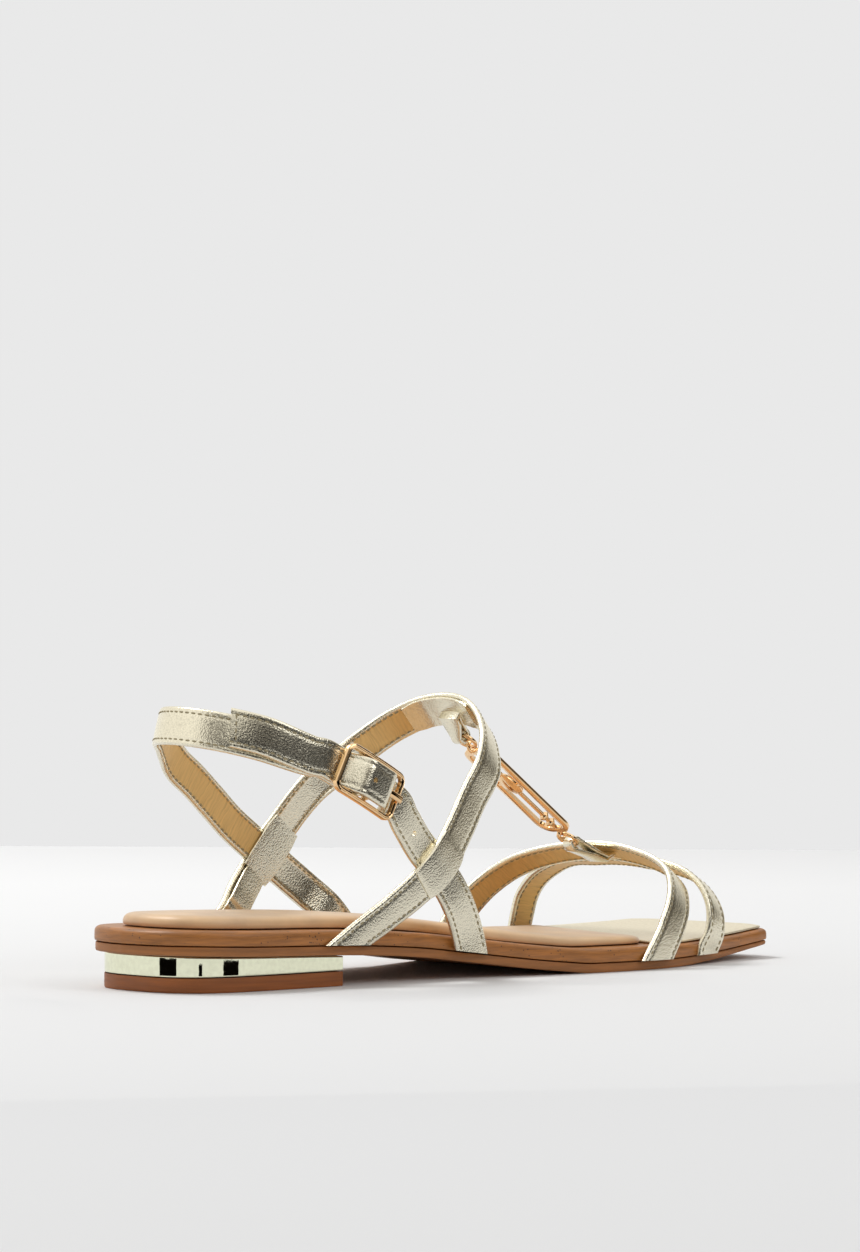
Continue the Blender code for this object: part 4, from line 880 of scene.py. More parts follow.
def strap_outline(half, depth):
    """A strap's section: folded edges, a shallow groove under each stitch line, and a set-in lining."""
    edge = min(0.75, depth * 0.85)
    points = [(0.0, depth + 0.08), (half * 0.45, depth + 0.07), (half - 2.3, depth + 0.03),
              (half - 1.95, depth - 0.07), (half - 1.5, depth - 0.07), (half - 1.15, depth)]
    for angle in (75, 45, 15, -15, -45, -75):
        turn = math.radians(angle)
        points.append((half - edge + edge * math.cos(turn),
                       math.copysign(depth - edge, turn) + edge * math.sin(turn)))
    points += [(half - 1.2, -depth), (half - 1.35, 0.12 - depth), (half * 0.5, 0.14 - depth), (0.0, 0.14 - depth)]
    return points + [(-a, b) for a, b in points[-2:0:-1]]


LINING_PLACES = range(13, 18)


def trim(bm, centre, direction, reach):
    """Cut away what lies behind a plane, near its centre only, and close the cut."""
    parts = [face for face in bm.faces if (face.calc_center_median() - centre).length < reach]
    geom = parts + list({edge for face in parts for edge in face.edges}) \
        + list({vertex for face in parts for vertex in face.verts})
    made = bmesh.ops.bisect_plane(bm, geom=geom, plane_co=centre, plane_no=direction, clear_inner=True, dist=0.0001)
    bmesh.ops.holes_fill(bm, edges=[item for item in made["geom_cut"] if isinstance(item, bmesh.types.BMEdge)])


def punch(bm, section, radius=0.85, sides=10):
    """Punch one round hole through both skins of a strap and line it with a wall."""
    for turn in np.linspace(0.0, math.pi * 2, sides, endpoint=False):
        away = section.along * math.cos(turn) + section.side * math.sin(turn)
        near = [face for face in bm.faces if (face.calc_center_median() - section.point).length < 4.2]
        geom = near + list({edge for face in near for edge in face.edges}) \
            + list({vertex for face in near for vertex in face.verts})
        bmesh.ops.bisect_plane(bm, geom=geom, plane_co=section.point + away * radius, plane_no=away, dist=0.0001)
    gone = []
    for face in bm.faces:
        away = face.calc_center_median() - section.point
        if away.length < 3.0 and math.hypot(away.dot(section.along), away.dot(section.side)) < radius * 0.97:
            gone.append(face)
    bmesh.ops.delete(bm, geom=gone, context="FACES")
    rims = [edge for edge in bm.edges if edge.is_boundary and
            all((vertex.co - section.point).length < 3.0 for vertex in edge.verts)]
    bmesh.ops.bridge_loops(bm, edges=rims)


def strap_piece(name, sections, node, seats=(), tail=None, pale=(), holes=()):
    """A lined and folded strap swept through its sections, with its ends cut on the sole's seam."""
    sections = squared(sections)
    bm = bmesh.new()
    across = bm.verts.layers.float.new("across")
    along = bm.verts.layers.float.new("along")
    rings = [[item.point + item.side * a + item.outward * b for a, b in strap_outline(item.half, item.depth)]
             for item in sections]
    rows, caps = sweep(bm, rings)
    lining = set()
    for item, row in zip(sections, rows):
        for place, (vertex, (a, b)) in enumerate(zip(row, strap_outline(item.half, item.depth))):
            vertex[across] = a
            vertex[along] = item.distance
            if place in LINING_PLACES:
                lining.add(vertex)
    for face in bm.faces:
        inner = len(face.verts) == 4 and all(vertex in lining for vertex in face.verts)
        middle = sum(vertex[along] for vertex in face.verts) / len(face.verts)
        face.material_index = int(inner and not any(low < middle < high for low, high in pale))
    for place in seats:
        x = sections[place].point.x
        slope = (seam_height(x + 2) - seam_height(x - 2)) / 4
        trim(bm, Vector((x, sections[place].point.y, seam_height(x) + CLEARANCE)), Vector((-slope, 0, 1)), 26)
    if tail:
        trim(bm, *tail, 22)
    for place in holes:
        punch(bm, min(sections, key=lambda item: abs(item.distance - place)))
    face_outward(bm)
    keep(name, bm, ["foil", "lining"], [node])
    return sections


def stitch_rows(name, sections, node, skips=(), end_row=None):
    """Stitches along both edges, on the face and on the lining side, and across an end where it has a row."""
    pitch, inset = settings().stitch_pitch, settings().stitch_inset
    strand = bmesh.new()
    bmesh.ops.create_uvsphere(strand, u_segments=6, v_segments=4, radius=1.0)
    shape = np.array([(*vertex.co, 1.0) for vertex in strand.verts])
    strand.verts.index_update()
    sides = [[vertex.index for vertex in face.verts] for face in strand.faces]
    strand.free()
    distances = [item.distance for item in sections]
    points, faces = [], []

    def stitch(place, along, side, outward):
        turn = Matrix((side, outward, along)).transposed().to_4x4()
        matrix = Matrix.Translation(place) @ turn @ Matrix.Diagonal((0.30, 0.20, pitch * 0.36, 1.0))
        faces.extend([corner + len(points) * len(shape) for corner in corners] for corners in sides)
        points.append((shape @ np.array(matrix).T)[:, :3])

    for at in np.arange(pitch, sections[-1].distance - pitch * 0.4, pitch):
        if any(low < at < high for low, high in skips):
            continue
        index = int(np.searchsorted(distances, at)) - 1
        low, high = sections[index], sections[index + 1]
        share = (at - low.distance) / (high.distance - low.distance)
        middle = low.point.lerp(high.point, share)
        along, side, outward = (getattr(low, key).lerp(getattr(high, key), share).normalized()
                                for key in ("along", "side", "outward"))
        half = low.half + (high.half - low.half) * share
        for level, sign in ((low.depth - 0.02, -1), (low.depth - 0.02, 1), (0.05 - low.depth, -1),
                            (0.05 - low.depth, 1)):
            place = middle + side * sign * (half - inset) + outward * level
            if place.z > seam_height(place.x) + 1.2:
                stitch(place, along, side, outward)
    if end_row:
        cut, slant = end_row
        last = sections[-1]
        across = slant.cross(last.outward).normalized()
        for count in (-1.5, -0.5, 0.5, 1.5):
            stitch(cut - slant * inset + across * count * pitch + last.outward * (last.depth - 0.02), across, slant,
                   last.outward)
    data = bpy.data.meshes.new(name + "_strands")
    data.from_pydata([tuple(point) for point in np.vstack(points)], [], faces)
    bm = bmesh.new()
    bm.from_mesh(data)
    bpy.data.meshes.remove(data)
    keep(name, bm, ["thread"], [node])


def hoop(bm, path, outline, placing=Matrix()):
    """A bar of one section bent round a closed flat path; outline points are (outward, up)."""
    before = set(bm.verts)
    path = [Vector((x, y, 0.0)) for x, y in path]
    rings = []
    for index, point in enumerate(path):
        run = (path[(index + 1) % len(path)] - path[index - 1]).normalized()
        away = Vector((run.y, -run.x, 0.0))
        rings.append([point + away * a + Vector((0, 0, b)) for a, b in outline])
    sweep(bm, rings, closed=True)
    bmesh.ops.transform(bm, matrix=placing, verts=[vertex for vertex in bm.verts if vertex not in before])


def circle(radius, steps):
    turns = np.linspace(0.0, 2 * math.pi, steps, endpoint=False)
    return [(radius * math.cos(turn), radius * math.sin(turn)) for turn in turns]


def rounded_rectangle(length, width, radius, steps=6):
    """Corner arcs of a rounded rectangle, in order, with even points between them."""
    points = []
    for quarter, (side_x, side_y) in enumerate(((1, 1), (-1, 1), (-1, -1), (1, -1))):
        centre = (side_x * (length / 2 - radius), side_y * (width / 2 - radius))
        for step in range(steps + 1):
            angle = math.radians(90 * (quarter + step / steps))
            points.append((centre[0] + radius * math.cos(angle), centre[1] + radius * math.sin(angle)))
    result = []
    for index, point in enumerate(points):
        after = points[(index + 1) % len(points)]
        reach = math.dist(point, after)
        cuts = max(1, int(round(reach / 1.2)))
        result += [(point[0] + (after[0] - point[0]) * cut / cuts, point[1] + (after[1] - point[1]) * cut / cuts)
                   for cut in range(cuts)]
    return result


def placing_of(point, along, side, outward):
    """Matrix that lays local x, y and z along three directions."""
    return Matrix.Translation(point) @ Matrix((along, side, outward)).transposed().to_4x4()


def rod(bm, points, outline, placing=Matrix()):
    """A rod of one section along a line, with softly closed ends; outline points are (side, up)."""
    before = set(bm.verts)
    rings = []
    for index, point in enumerate(points):
        ahead, behind = points[min(index + 1, len(points) - 1)], points[max(index - 1, 0)]
        along = (ahead - behind).normalized()
        side = Vector((0, 1, 0)) if abs(along.y) < 0.9 else Vector((1, 0, 0))
        side = (side - along * side.dot(along)).normalized()
        up = along.cross(side)
        rings.append([point + side * a + up * b for a, b in outline])
    rows, caps = sweep(bm, rings)
    for cap in caps:
        bmesh.ops.inset_region(bm, faces=[cap], thickness=0.12, depth=0.05)
    bmesh.ops.transform(bm, matrix=placing, verts=[vertex for vertex in bm.verts if vertex not in before])


# --- the sole ------------------------------------------------------------------------------------

def build_outsole():
    sole_layer("outsole_rubber_unit", lambda inset: inset_plan(sole_plan(), inset), (
        (0.9, outsole_bottom), (0.5, raised(outsole_bottom, 0.12)), (0.32, raised(outsole_bottom, 0.45)),
        (0.3, raised(outsole_bottom, 0.8)), (0.3, raised(seam_height, -0.35)), (0.42, raised(seam_height, -0.1)),
        (0.7, seam_height)), "outsole", "outsole")


def build_rim():
    edge = 1.7
    curve = [(edge * (1 - math.cos(turn)), raised(rim_top, edge * (math.sin(turn) - 1)))
             for turn in np.radians((0, 18, 36, 54, 72, 90))]
    sole_layer("wrapped_rim", lambda inset: inset_plan(sole_plan(), inset), (
        (0.55, raised(seam_height, CLEARANCE)), (0.15, raised(seam_height, CLEARANCE + 0.12)),
        (0.0, raised(seam_height, CLEARANCE + 0.45)), *curve), "rim", "midsole")


def pad_height(share):
    def height(x):
        thinning = 1.0 - PAD_THINNING * ease((x / LENGTH - PAD_THINNING_START) / PAD_THINNING_RUN)
        return rim_top(x) + CLEARANCE + share * PAD_HEIGHT * thinning
    return height


def build_footbed():
    """The padded footbed: a closed pillow with a tucked lower edge and a long soft shoulder."""
    def outline(inset):
        return inset_plan(split_plan(PAD_INSET, True, 110), inset)
    steps = ((0.8, 0.0), (0.25, 0.06), (0.0, 0.2), (0.0, 0.34), (0.12, 0.5), (0.42, 0.66), (0.95, 0.8),
             (1.7, 0.9), (2.7, 0.965), (4.0, 1.0))
    piece = sole_layer("padded_footbed", outline, [(inset, pad_height(share)) for inset, share in steps],
                       "footbed", "insole_pad", crown=PAD_CROWN)


def build_toe_panel():
    base = raised(rim_top, CLEARANCE)
    sole_layer("toe_panel", lambda inset: inset_plan(split_plan(TOE_PANEL_INSET, False, 90), inset), (
        (0.2, base), (0.0, raised(base, 0.2)), (0.0, raised(base, TOE_PANEL_THICKNESS - 0.3)),
        (0.12, raised(base, TOE_PANEL_THICKNESS - 0.08)), (0.4, raised(base, TOE_PANEL_THICKNESS))),
        "toe", "toe_insole")


def build_heel():
    top = TOP_LIFT_HEIGHT
    sole_layer("top_lift", heel_plan, (
        (0.5, lambda x: 0.0), (0.12, lambda x: 0.12), (0.0, lambda x: 0.5), (0.0, lambda x: 0.7),
        (0.0, lambda x: top - 0.4), (0.0, lambda x: top - 0.2),
        (0.1, lambda x: top)), "lift", "heel_top_lift")
    low = top + CLEARANCE
    sole_layer("mirror_heel_band", heel_plan, (
        (0.3, lambda x: low), (0.08, lambda x: low + 0.08), (0.0, lambda x: low + 0.3),
        (0.0, lambda x: low + 0.42), (0.0, raised(outsole_bottom, -CLEARANCE - 0.42)),
        (0.0, raised(outsole_bottom, -CLEARANCE - 0.3)), (0.08, raised(outsole_bottom, -CLEARANCE - 0.08)),
        (0.3, raised(outsole_bottom, -CLEARANCE))), "heel", "heel_band")


# --- the ankle straps and the buckle -------------------------------------------------------------

BUCKLE_BEND = 0.8
INNER_CROSSING_ROW = 18
OUTER_CROSSING_ROW = 4
TAB_WIDTH = 8.4
TAB_FOLD_WIDTH = 4.2
TAB_THICKNESS = 1.2
STRAP_SAG = 0.9
CENTRE_BAR_RADIUS = 0.7
CENTRE_BAR_DROP = 0.3
PRONG_RADIUS = 0.55
RING_RADIUS = 3.2
RING_WIRE = 0.65
EYELET_RADIUS = 1.6
EYELET_WIRE = 0.55
LINK_WIDTH = 13.6
LINK_RAIL = 2.4
LINK_THICKNESS = 1.6
LINK_CORNER = 5.0
SPINE_RADIUS = 0.7
BEAD_RADIUS = 1.5


def buckle_lift():
    """Distance from the strap's route to the middle of the buckle's frame, over two straps."""
    return BUCKLE_THICKNESS / 2 + CLEARANCE + STRAP_THICKNESS + CLEARANCE + STRAP_THICKNESS / 2


def centre_bar_lift():
    return buckle_lift() - CENTRE_BAR_DROP


def billet_offset(distance):
    """How far the pulled-through strap lies from its route, at a distance from the buckle's middle."""
    under = buckle_lift() - BUCKLE_THICKNESS / 2 - CLEARANCE - STRAP_THICKNESS / 2
    ring = CENTRE_BAR_RADIUS + CLEARANCE + PRONG_RADIUS
    over = centre_bar_lift() + ring + PRONG_RADIUS + CLEARANCE + STRAP_THICKNESS / 2
    bar = BUCKLE_LENGTH / 2 - BUCKLE_BAR
    if distance < -bar - BUCKLE_BAR:
        return under * ease(1.0 + (distance + bar + BUCKLE_BAR) / BUCKLE_LENGTH)
    reach = bar - BUCKLE_BAR / 2
    if abs(distance) >= reach:
        return under
    steep = 2.2 if distance < 0 else 1.3
    return under + (over - under) * ease((1.0 - abs(distance) / reach) * steep)


def ankle_frames():
    frames = strap_frames(ANKLE_ROUTE, ANKLE_CORE, INSTEP_HEIGHT)
    centre = frames[BUCKLE_ROW * 12].distance
    return straightened(frames, centre, BUCKLE_LENGTH * 0.55), centre


def instep_frames():
    return strap_frames(INSTEP_ROUTE, INSTEP_CORE, INSTEP_HEIGHT)


def build_instep_strap():
    frames = instep_frames()
    sections = strap_piece("instep_strap", [placed(frames, at) for at in
                                            even_distances(0.0, frames[-1].distance, settings().section_step)],
                           "ankle_upper", seats=(0, -1), pale=((166.0, 400.0),))
    stitch_rows("instep_strap_stitches", sections, "ankle_upper")
    build_sleeves(frames)


def wrap(name, frames, distances, offset_at, depth, widen, finish_name="foil"):
    """A thin strip of leather laid along a strap, on its face or on its lining side."""
    sections = []
    for at in distances:
        frame = frame_at(frames, at)
        section = placed(frames, at, offset_at(at, frame), depth=depth)
        drawn_in = 0.5 * (1.0 - ease(min(at - distances[0], distances[-1] - at) / 4.0))
        sections.append(section._replace(half=frame.width / 2 + widen - drawn_in))
    bm = bmesh.new()
    outline = ((1.0, 0.2), (0.97, 0.8), (0.88, 1.0), (0.3, 1.05), (-0.3, 1.05), (-0.88, 1.0), (-0.97, 0.8),
               (-1.0, 0.2), (-1.0, -0.5), (-0.97, -0.9), (-0.88, -1.0), (-0.3, -1.05), (0.3, -1.05),
               (0.88, -1.0), (0.97, -0.9), (1.0, -0.5))
    sweep(bm, [[item.point + item.side * a * item.half + item.outward * b * item.depth for a, b in outline]
               for item in squared(sections)])
    face_outward(bm)
    keep(name, bm, [finish_name], ["ankle_upper"])


def build_sleeves(frames):
    """The sleeve over the inner crossing, the creased flap under it, the outer band, the tab's patch."""
    crossing = frames[INNER_CROSSING_ROW * 12].distance
    start, end = crossing + 8.0, frames[-1].distance - 7.0

    def sleeve(at, frame):
        return -frame.lift - 1.4 - 0.6 * ease(1.0 - abs(at - crossing) / 11.0)

    def flap(at, frame):
        share = (at - start) / (end - start)
        creases = sum(0.45 * math.exp(-((share - place) / 0.045)**2) for place in (0.66, 0.79, 0.91))
        return -frame.lift - 1.2 - 0.9 * math.sin(math.pi * min(share * 1.3, 1.0)) + creases

    wrap("inner_sleeve", frames, even_distances(crossing - 10.0, crossing + 9.5, 0.7), sleeve, 0.45, 0.4)
    wrap("inner_flap", frames, even_distances(start, end, 0.5), flap, 0.5, -1.2)
    outer = frames[OUTER_CROSSING_ROW * 12].distance
    wrap("outer_band", frames, even_distances(outer - 9.0, outer + 9.5, 0.6),
         lambda at, frame: 0.9 + 0.25 * ease((9.5 - abs(at - outer)) / 2.0), 0.3, 0.12)
    top = frames[INSTEP_TOP_ROW * 12].distance
    wrap("tab_patch", frames, even_distances(top - 12.0, top + 17.0, 0.8),
         lambda at, frame: -frame.lift - 1.35 - 0.2 * ease((10.0 - abs(at - top)) / 3.0), 0.5, -0.35)


def build_heel_strap():
    """The strap round the heel, from its thin fold over the centre bar to the inner side."""
    frames, centre = ankle_frames()
    seat = frame_at(frames, centre)
    radius = CENTRE_BAR_RADIUS + CLEARANCE + FOLD_THICKNESS / 2
    middle = seat.point + seat.outward * centre_bar_lift()
    sections = []
    for angle in np.radians(np.arange(255, -1, -15)):
        point = middle + seat.along * radius * math.cos(angle) + seat.outward * radius * math.sin(angle)
        sections.append(Section(point, seat.along, seat.side, seat.outward, seat.width / 2 - 0.5,
                                FOLD_THICKNESS / 2, 0.0))
    drop = centre_bar_lift() / 2
    for reach, lift, thickness in ((1.35, centre_bar_lift() - drop * 0.5, FOLD_THICKNESS),
                                   (2.1, drop, FOLD_THICKNESS * 1.1), (3.2, drop * 0.5, STRAP_THICKNESS * 0.75),
                                   (4.6, drop * 0.15, STRAP_THICKNESS * 0.9)):
        point = seat.point + seat.along * radius * reach + seat.outward * lift
        sections.append(Section(point, seat.along, seat.side, seat.outward, seat.width / 2, thickness / 2, 0.0))
    start = centre + radius * 6.5
    sections += [placed(frames, at) for at in even_distances(start, frames[-1].distance, settings().section_step)]
    sections = strap_piece("heel_strap", sections, "ankle_upper", seats=(-1,), pale=((160.0, 400.0),))
    stitch_rows("heel_strap_stitches", sections, "ankle_upper", skips=((0.0, 16.0),))


def build_billet():
    """The strap from the outer side of the sole, through the buckle, to its slanted tail."""
    frames, centre = ankle_frames()
    weave = BUCKLE_LENGTH / 2 + BUCKLE_BAR
    distances = even_distances(0.0, centre - weave, settings().section_step)[:-1]
    distances += even_distances(centre - weave, centre + weave, 0.6)
    distances += even_distances(centre + weave, centre + TAIL_LENGTH, settings().section_step)[1:]
    sections = []
    for at in distances:
        shift = -TAIL_RISE * ease((at - centre - weave) / BUCKLE_LENGTH)
        sections.append(placed(frames, at, billet_offset(at - centre), shift=shift))
    end = squared(sections)[-1]
    slant = (end.along * STRAP_WIDTH + end.side * TAIL_SLANT * 0.6).normalized()
    cut = end.point - end.along * TAIL_SLANT * 0.35
    sections = strap_piece("billet_strap", sections, "ankle_upper", seats=(0,), tail=(cut, -slant), holes=(centre - 25.5, centre + 4.0))
    stitch_rows("billet_stitches", sections, "ankle_upper", end_row=(cut, slant),
                skips=((centre - BUCKLE_LENGTH / 2 + 1.0, centre + BUCKLE_LENGTH / 2 - 1.0),))


def buckle_placing():
    frames, centre = ankle_frames()
    seat = frame_at(frames, centre)
    return placing_of(seat.point + seat.outward * buckle_lift(), seat.along, seat.side, seat.outward), seat


def bow(x):
    """How far the buckle's middle stands out from its ends."""
    return BUCKLE_BEND * max(0.0, 1.0 - (x / (BUCKLE_LENGTH * 0.55))**2) - BUCKLE_BEND * 0.1


def build_buckle():
    placing, seat = buckle_placing()
    inner = seat.width + 0.8
    bar = BUCKLE_BAR
    outline = ((-bar / 2, -0.75), (-bar / 2, 0.5), (-bar * 0.36, 0.8), (-bar * 0.14, 0.88), (0.0, 0.76),
               (bar * 0.14, 0.88), (bar * 0.36, 0.8), (bar / 2, 0.5), (bar / 2, -0.75), (bar * 0.36, -0.9),
               (-bar * 0.36, -0.9))
    bm = bmesh.new()
    hoop(bm, rounded_rectangle(BUCKLE_LENGTH - bar, inner + bar, 2.3, 7), outline)
    half = inner / 2 + bar * 0.3
    rod(bm, [Vector((0, y, -CENTRE_BAR_DROP)) for y in np.linspace(-half, half, 8)], circle(CENTRE_BAR_RADIUS, 14))
    for vertex in bm.verts:
        vertex.co.z += bow(vertex.co.x)
    bmesh.ops.transform(bm, matrix=placing, verts=bm.verts)
    face_outward(bm)
    keep("buckle_frame_cast", bm, ["hardware"], ["buckle_frame"])

    radius = CENTRE_BAR_RADIUS + CLEARANCE + PRONG_RADIUS
    points = [Vector((radius * math.cos(angle), 0.0, radius * math.sin(angle) - CENTRE_BAR_DROP))
              for angle in np.radians(np.linspace(-150, 90, 16))]
    rest = BUCKLE_THICKNESS / 2 + CLEARANCE + PRONG_RADIUS
    reach = BUCKLE_LENGTH / 2
    start = points[-1].z
    points += [Vector((-reach * share, 0.0, start + (rest - start) * ease(share * 1.2)))
               for share in (0.1, 0.2, 0.35, 0.5, 0.65, 0.8, 0.9, 0.97, 1.0)]
    bm = bmesh.new()
    flat = [(a * 2.1, b) for a, b in circle(PRONG_RADIUS, 14)]
    rod(bm, points, flat)
    for vertex in bm.verts:
        vertex.co.z += bow(vertex.co.x)
    bmesh.ops.transform(bm, matrix=placing, verts=bm.verts)
    face_outward(bm)
    keep("buckle_prong_cast", bm, ["hardware"], ["buckle_prong"])


# --- the vamp straps, the tabs and the ornament --------------------------------------------------

def build_vamp():
    for name, route, core in (("rear_vamp", REAR_VAMP_ROUTE, REAR_VAMP_CORE),
                              ("front_vamp", FRONT_VAMP_ROUTE, FRONT_VAMP_CORE)):
        frames = strap_frames(route, core, VAMP_HEIGHT)
        sections = strap_piece(f"{name}_strap", [placed(frames, at) for at in
                                                 even_distances(0.0, frames[-1].distance, settings().section_step)],
                               "vamp_upper", seats=(0, -1))
        stitch_rows(f"{name}_stitches", sections, "vamp_upper")


def ornament_ends():
    """The wires held by the two tabs: the ornament hangs between them."""
    top = Vector((ORNAMENT_TOP[0] * LENGTH, 0.0, ORNAMENT_TOP[1] * INSTEP_HEIGHT))
    foot = Vector((ORNAMENT_FOOT[0] * LENGTH, 0.0, ORNAMENT_FOOT[1] * INSTEP_HEIGHT))
    return top, foot


def tab_sections(wire, anchor, outward):
    """A strip folded round a ring's wire, its two ends side by side under the strap."""
    towards = (anchor - wire).normalized()
    normal = towards.cross(Vector((0, 1, 0)))
    if normal.dot(outward) < 0:
        normal = -normal
    sag = RING_RADIUS - math.sqrt(RING_RADIUS**2 - (TAB_FOLD_WIDTH / 2)**2)
    radius = RING_WIRE + sag / 2 + CLEARANCE + TAB_THICKNESS / 2
    centre = wire - towards * sag / 2
    gap = (CLEARANCE + TAB_THICKNESS) / 2
    waist = centre.lerp(anchor, 0.55)

    def run(sign, shares):
        for share in shares:
            width = TAB_WIDTH * (1.0 - 0.15 * share)
            yield anchor.lerp(waist, share) + normal * gap * sign, width / 2

    root = anchor + outward * 2.6
    rows = [(root + normal * 0.1, TAB_WIDTH / 2)] + list(run(1, (0.3, 0.7, 1.0)))
    rows += [(centre + (towards * math.cos(angle) + normal * math.sin(angle)) * radius, TAB_FOLD_WIDTH / 2)
             for angle in np.radians(np.linspace(65, 295, 19))]
    rows += list(run(-1, (1.0, 0.7, 0.3))) + [(root - normal * 0.1, TAB_WIDTH / 2)]
    return [Section(point, towards, Vector((0, 1, 0)), normal, half, TAB_THICKNESS / 2, 0.0)
            for point, half in rows]


def build_tabs():
    """The two leather loops, seated under the instep strap and under the vamp straps."""
    top, foot = ornament_ends()
    instep = instep_frames()[INSTEP_TOP_ROW * 12]
    vamp = strap_frames(REAR_VAMP_ROUTE, REAR_VAMP_CORE, VAMP_HEIGHT)[VAMP_TOP_ROW * 12]
    drop = STRAP_THICKNESS / 2 + CLEARANCE * 1.5 + TAB_THICKNESS + STRAP_SAG
    for name, wire, seat in (("instep_tab", top, instep), ("vamp_tab", foot, vamp)):
        anchor = seat.point + seat.outward * (seat.lift - drop)
        outline = [(1.0, 0.3), (0.9, 0.75), (0.7, 1.0), (-0.7, 1.0), (-0.9, 0.75), (-1.0, 0.3), (-1.0, -0.3),
                   (-0.9, -0.75), (-0.7, -1.0), (0.7, -1.0), (0.9, -0.75), (1.0, -0.3)]
        bm = bmesh.new()
        rings = []
        for item in squared(tab_sections(wire, anchor, seat.outward)):
            rings.append([item.point + item.side * (item.half - (1 - abs(a)) * item.depth * 2) * math.copysign(1, a)
                          + item.outward * b * item.depth for a, b in outline])
        sweep(bm, rings)
        face_outward(bm)
        keep(f"{name}_loop", bm, ["foil"], [name])


def slope_placing(point, slope):
    """Local x down the ornament's slope, local y across the shoe."""
    side = Vector((0, 1, 0))
    return placing_of(point, slope, side, slope.cross(side))


def boss(bm, place, length, width, thickness, flutes, placing):
    """A pointed oval boss with flutes that run from tip to tip."""
    made = bmesh.ops.create_uvsphere(bm, u_segments=flutes * 4, v_segments=16, radius=1.0,
                                     matrix=Matrix.Rotation(math.pi / 2, 4, "Y"))
    for vertex in made["verts"]:
        x, y, z = vertex.co
        turn = math.atan2(z, y)
        flute = 1.0 + 0.07 * math.cos(flutes * turn) * (1.0 - abs(x)**3)
        slim = (1.0 - x * x)**0.35 if abs(x) < 1 else 0.0
        vertex.co = (place + x * length / 2, y * flute * slim * width / 2, z * flute * slim * thickness / 2)
    bmesh.ops.transform(bm, matrix=placing, verts=made["verts"])


def build_ornament():
    """A generic link: a long frame with a fluted boss, two beads and an eyelet at each end."""
    top, foot = ornament_ends()
    slope = (foot - top).normalized()
    for name, wire, direction in (("instep_ring", top, 1), ("vamp_ring", foot, -1)):
        bm = bmesh.new()
        hoop(bm, circle(RING_RADIUS, 40), circle(RING_WIRE, 12),
             slope_placing(wire + slope * RING_RADIUS * direction, slope))
        face_outward(bm)
        keep(f"{name}_wire", bm, ["hardware"], [name])
    first, last = top + slope * 2 * RING_RADIUS, foot - slope * 2 * RING_RADIUS
    body = (last - first).length - 2 * EYELET_RADIUS
    placing = slope_placing((first + last) / 2, slope)
    rail, high = LINK_RAIL / 2, LINK_THICKNESS / 2
    outline = ((-rail, -high * 0.7), (-rail, high * 0.45), (-rail * 0.75, high * 0.92), (-rail * 0.3, high),
               (-rail * 0.1, high * 0.72), (rail * 0.2, high * 0.72), (rail * 0.4, high), (rail * 0.8, high * 0.9),
               (rail, high * 0.4), (rail, -high * 0.7), (rail * 0.7, -high), (-rail * 0.7, -high))
    bm = bmesh.new()
    hoop(bm, rounded_rectangle(body - LINK_RAIL, LINK_WIDTH - LINK_RAIL, LINK_CORNER - rail, 9), outline, placing)
    half, reach = body / 2, LINK_WIDTH / 2 - rail
    middle = -body * 0.08
    rod(bm, [Vector((x, 0, 0)) for x in np.linspace(-half + rail, half - rail, 9)], circle(SPINE_RADIUS, 12), placing)
    rod(bm, [Vector((middle, y, 0)) for y in np.linspace(-reach, reach, 7)], circle(0.8, 12), placing)
    boss(bm, middle, 12.0, 7.0, 3.4, 9, placing)
    for index in range(2):
        place = half - LINK_RAIL - BEAD_RADIUS * (1.6 + 2.3 * index)
        boss(bm, place, BEAD_RADIUS * 2, BEAD_RADIUS * 2, BEAD_RADIUS * 2, 6, placing)
    upright = Matrix.Rotation(math.radians(90), 4, "X")
    for end in (-1, 1):
        shift = Matrix.Translation((end * (half + EYELET_RADIUS), 0, 0))
        hoop(bm, circle(EYELET_RADIUS, 28), circle(EYELET_WIRE, 12), placing @ shift @ upright)
    face_outward(bm)
    keep("ornament_cast", bm, ["hardware"], ["ornament"])


# --- the photographer's stage --------------------------------------------------------------------

CAMERA_PLACE = Vector((-0.94883, -1.03840, 0.10551))
CAMERA_TURN = 0.786
CAMERA_ROLL = 0.005
FLOOR_REACH = 2.286
# Black cards, out of the camera's sight: the two ends of each on the floor and its height, in mm.
# Three small ones make the bars in the mirror heel, two large ones darken the upright straps.
REFLECTED_CARDS = (((-36.6, 5.5), (-36.1, -27.1), 7.0), ((-12.1, -58.3), (-5.7, -61.8), 5.0),
                   ((25.9, -67.6), (43.1, -64.8), 6.0), ((-280.0, -190.0), (-60.0, -320.0), 150.0),
                   ((-60.0, -320.0), (400.0, -320.0), 130.0))


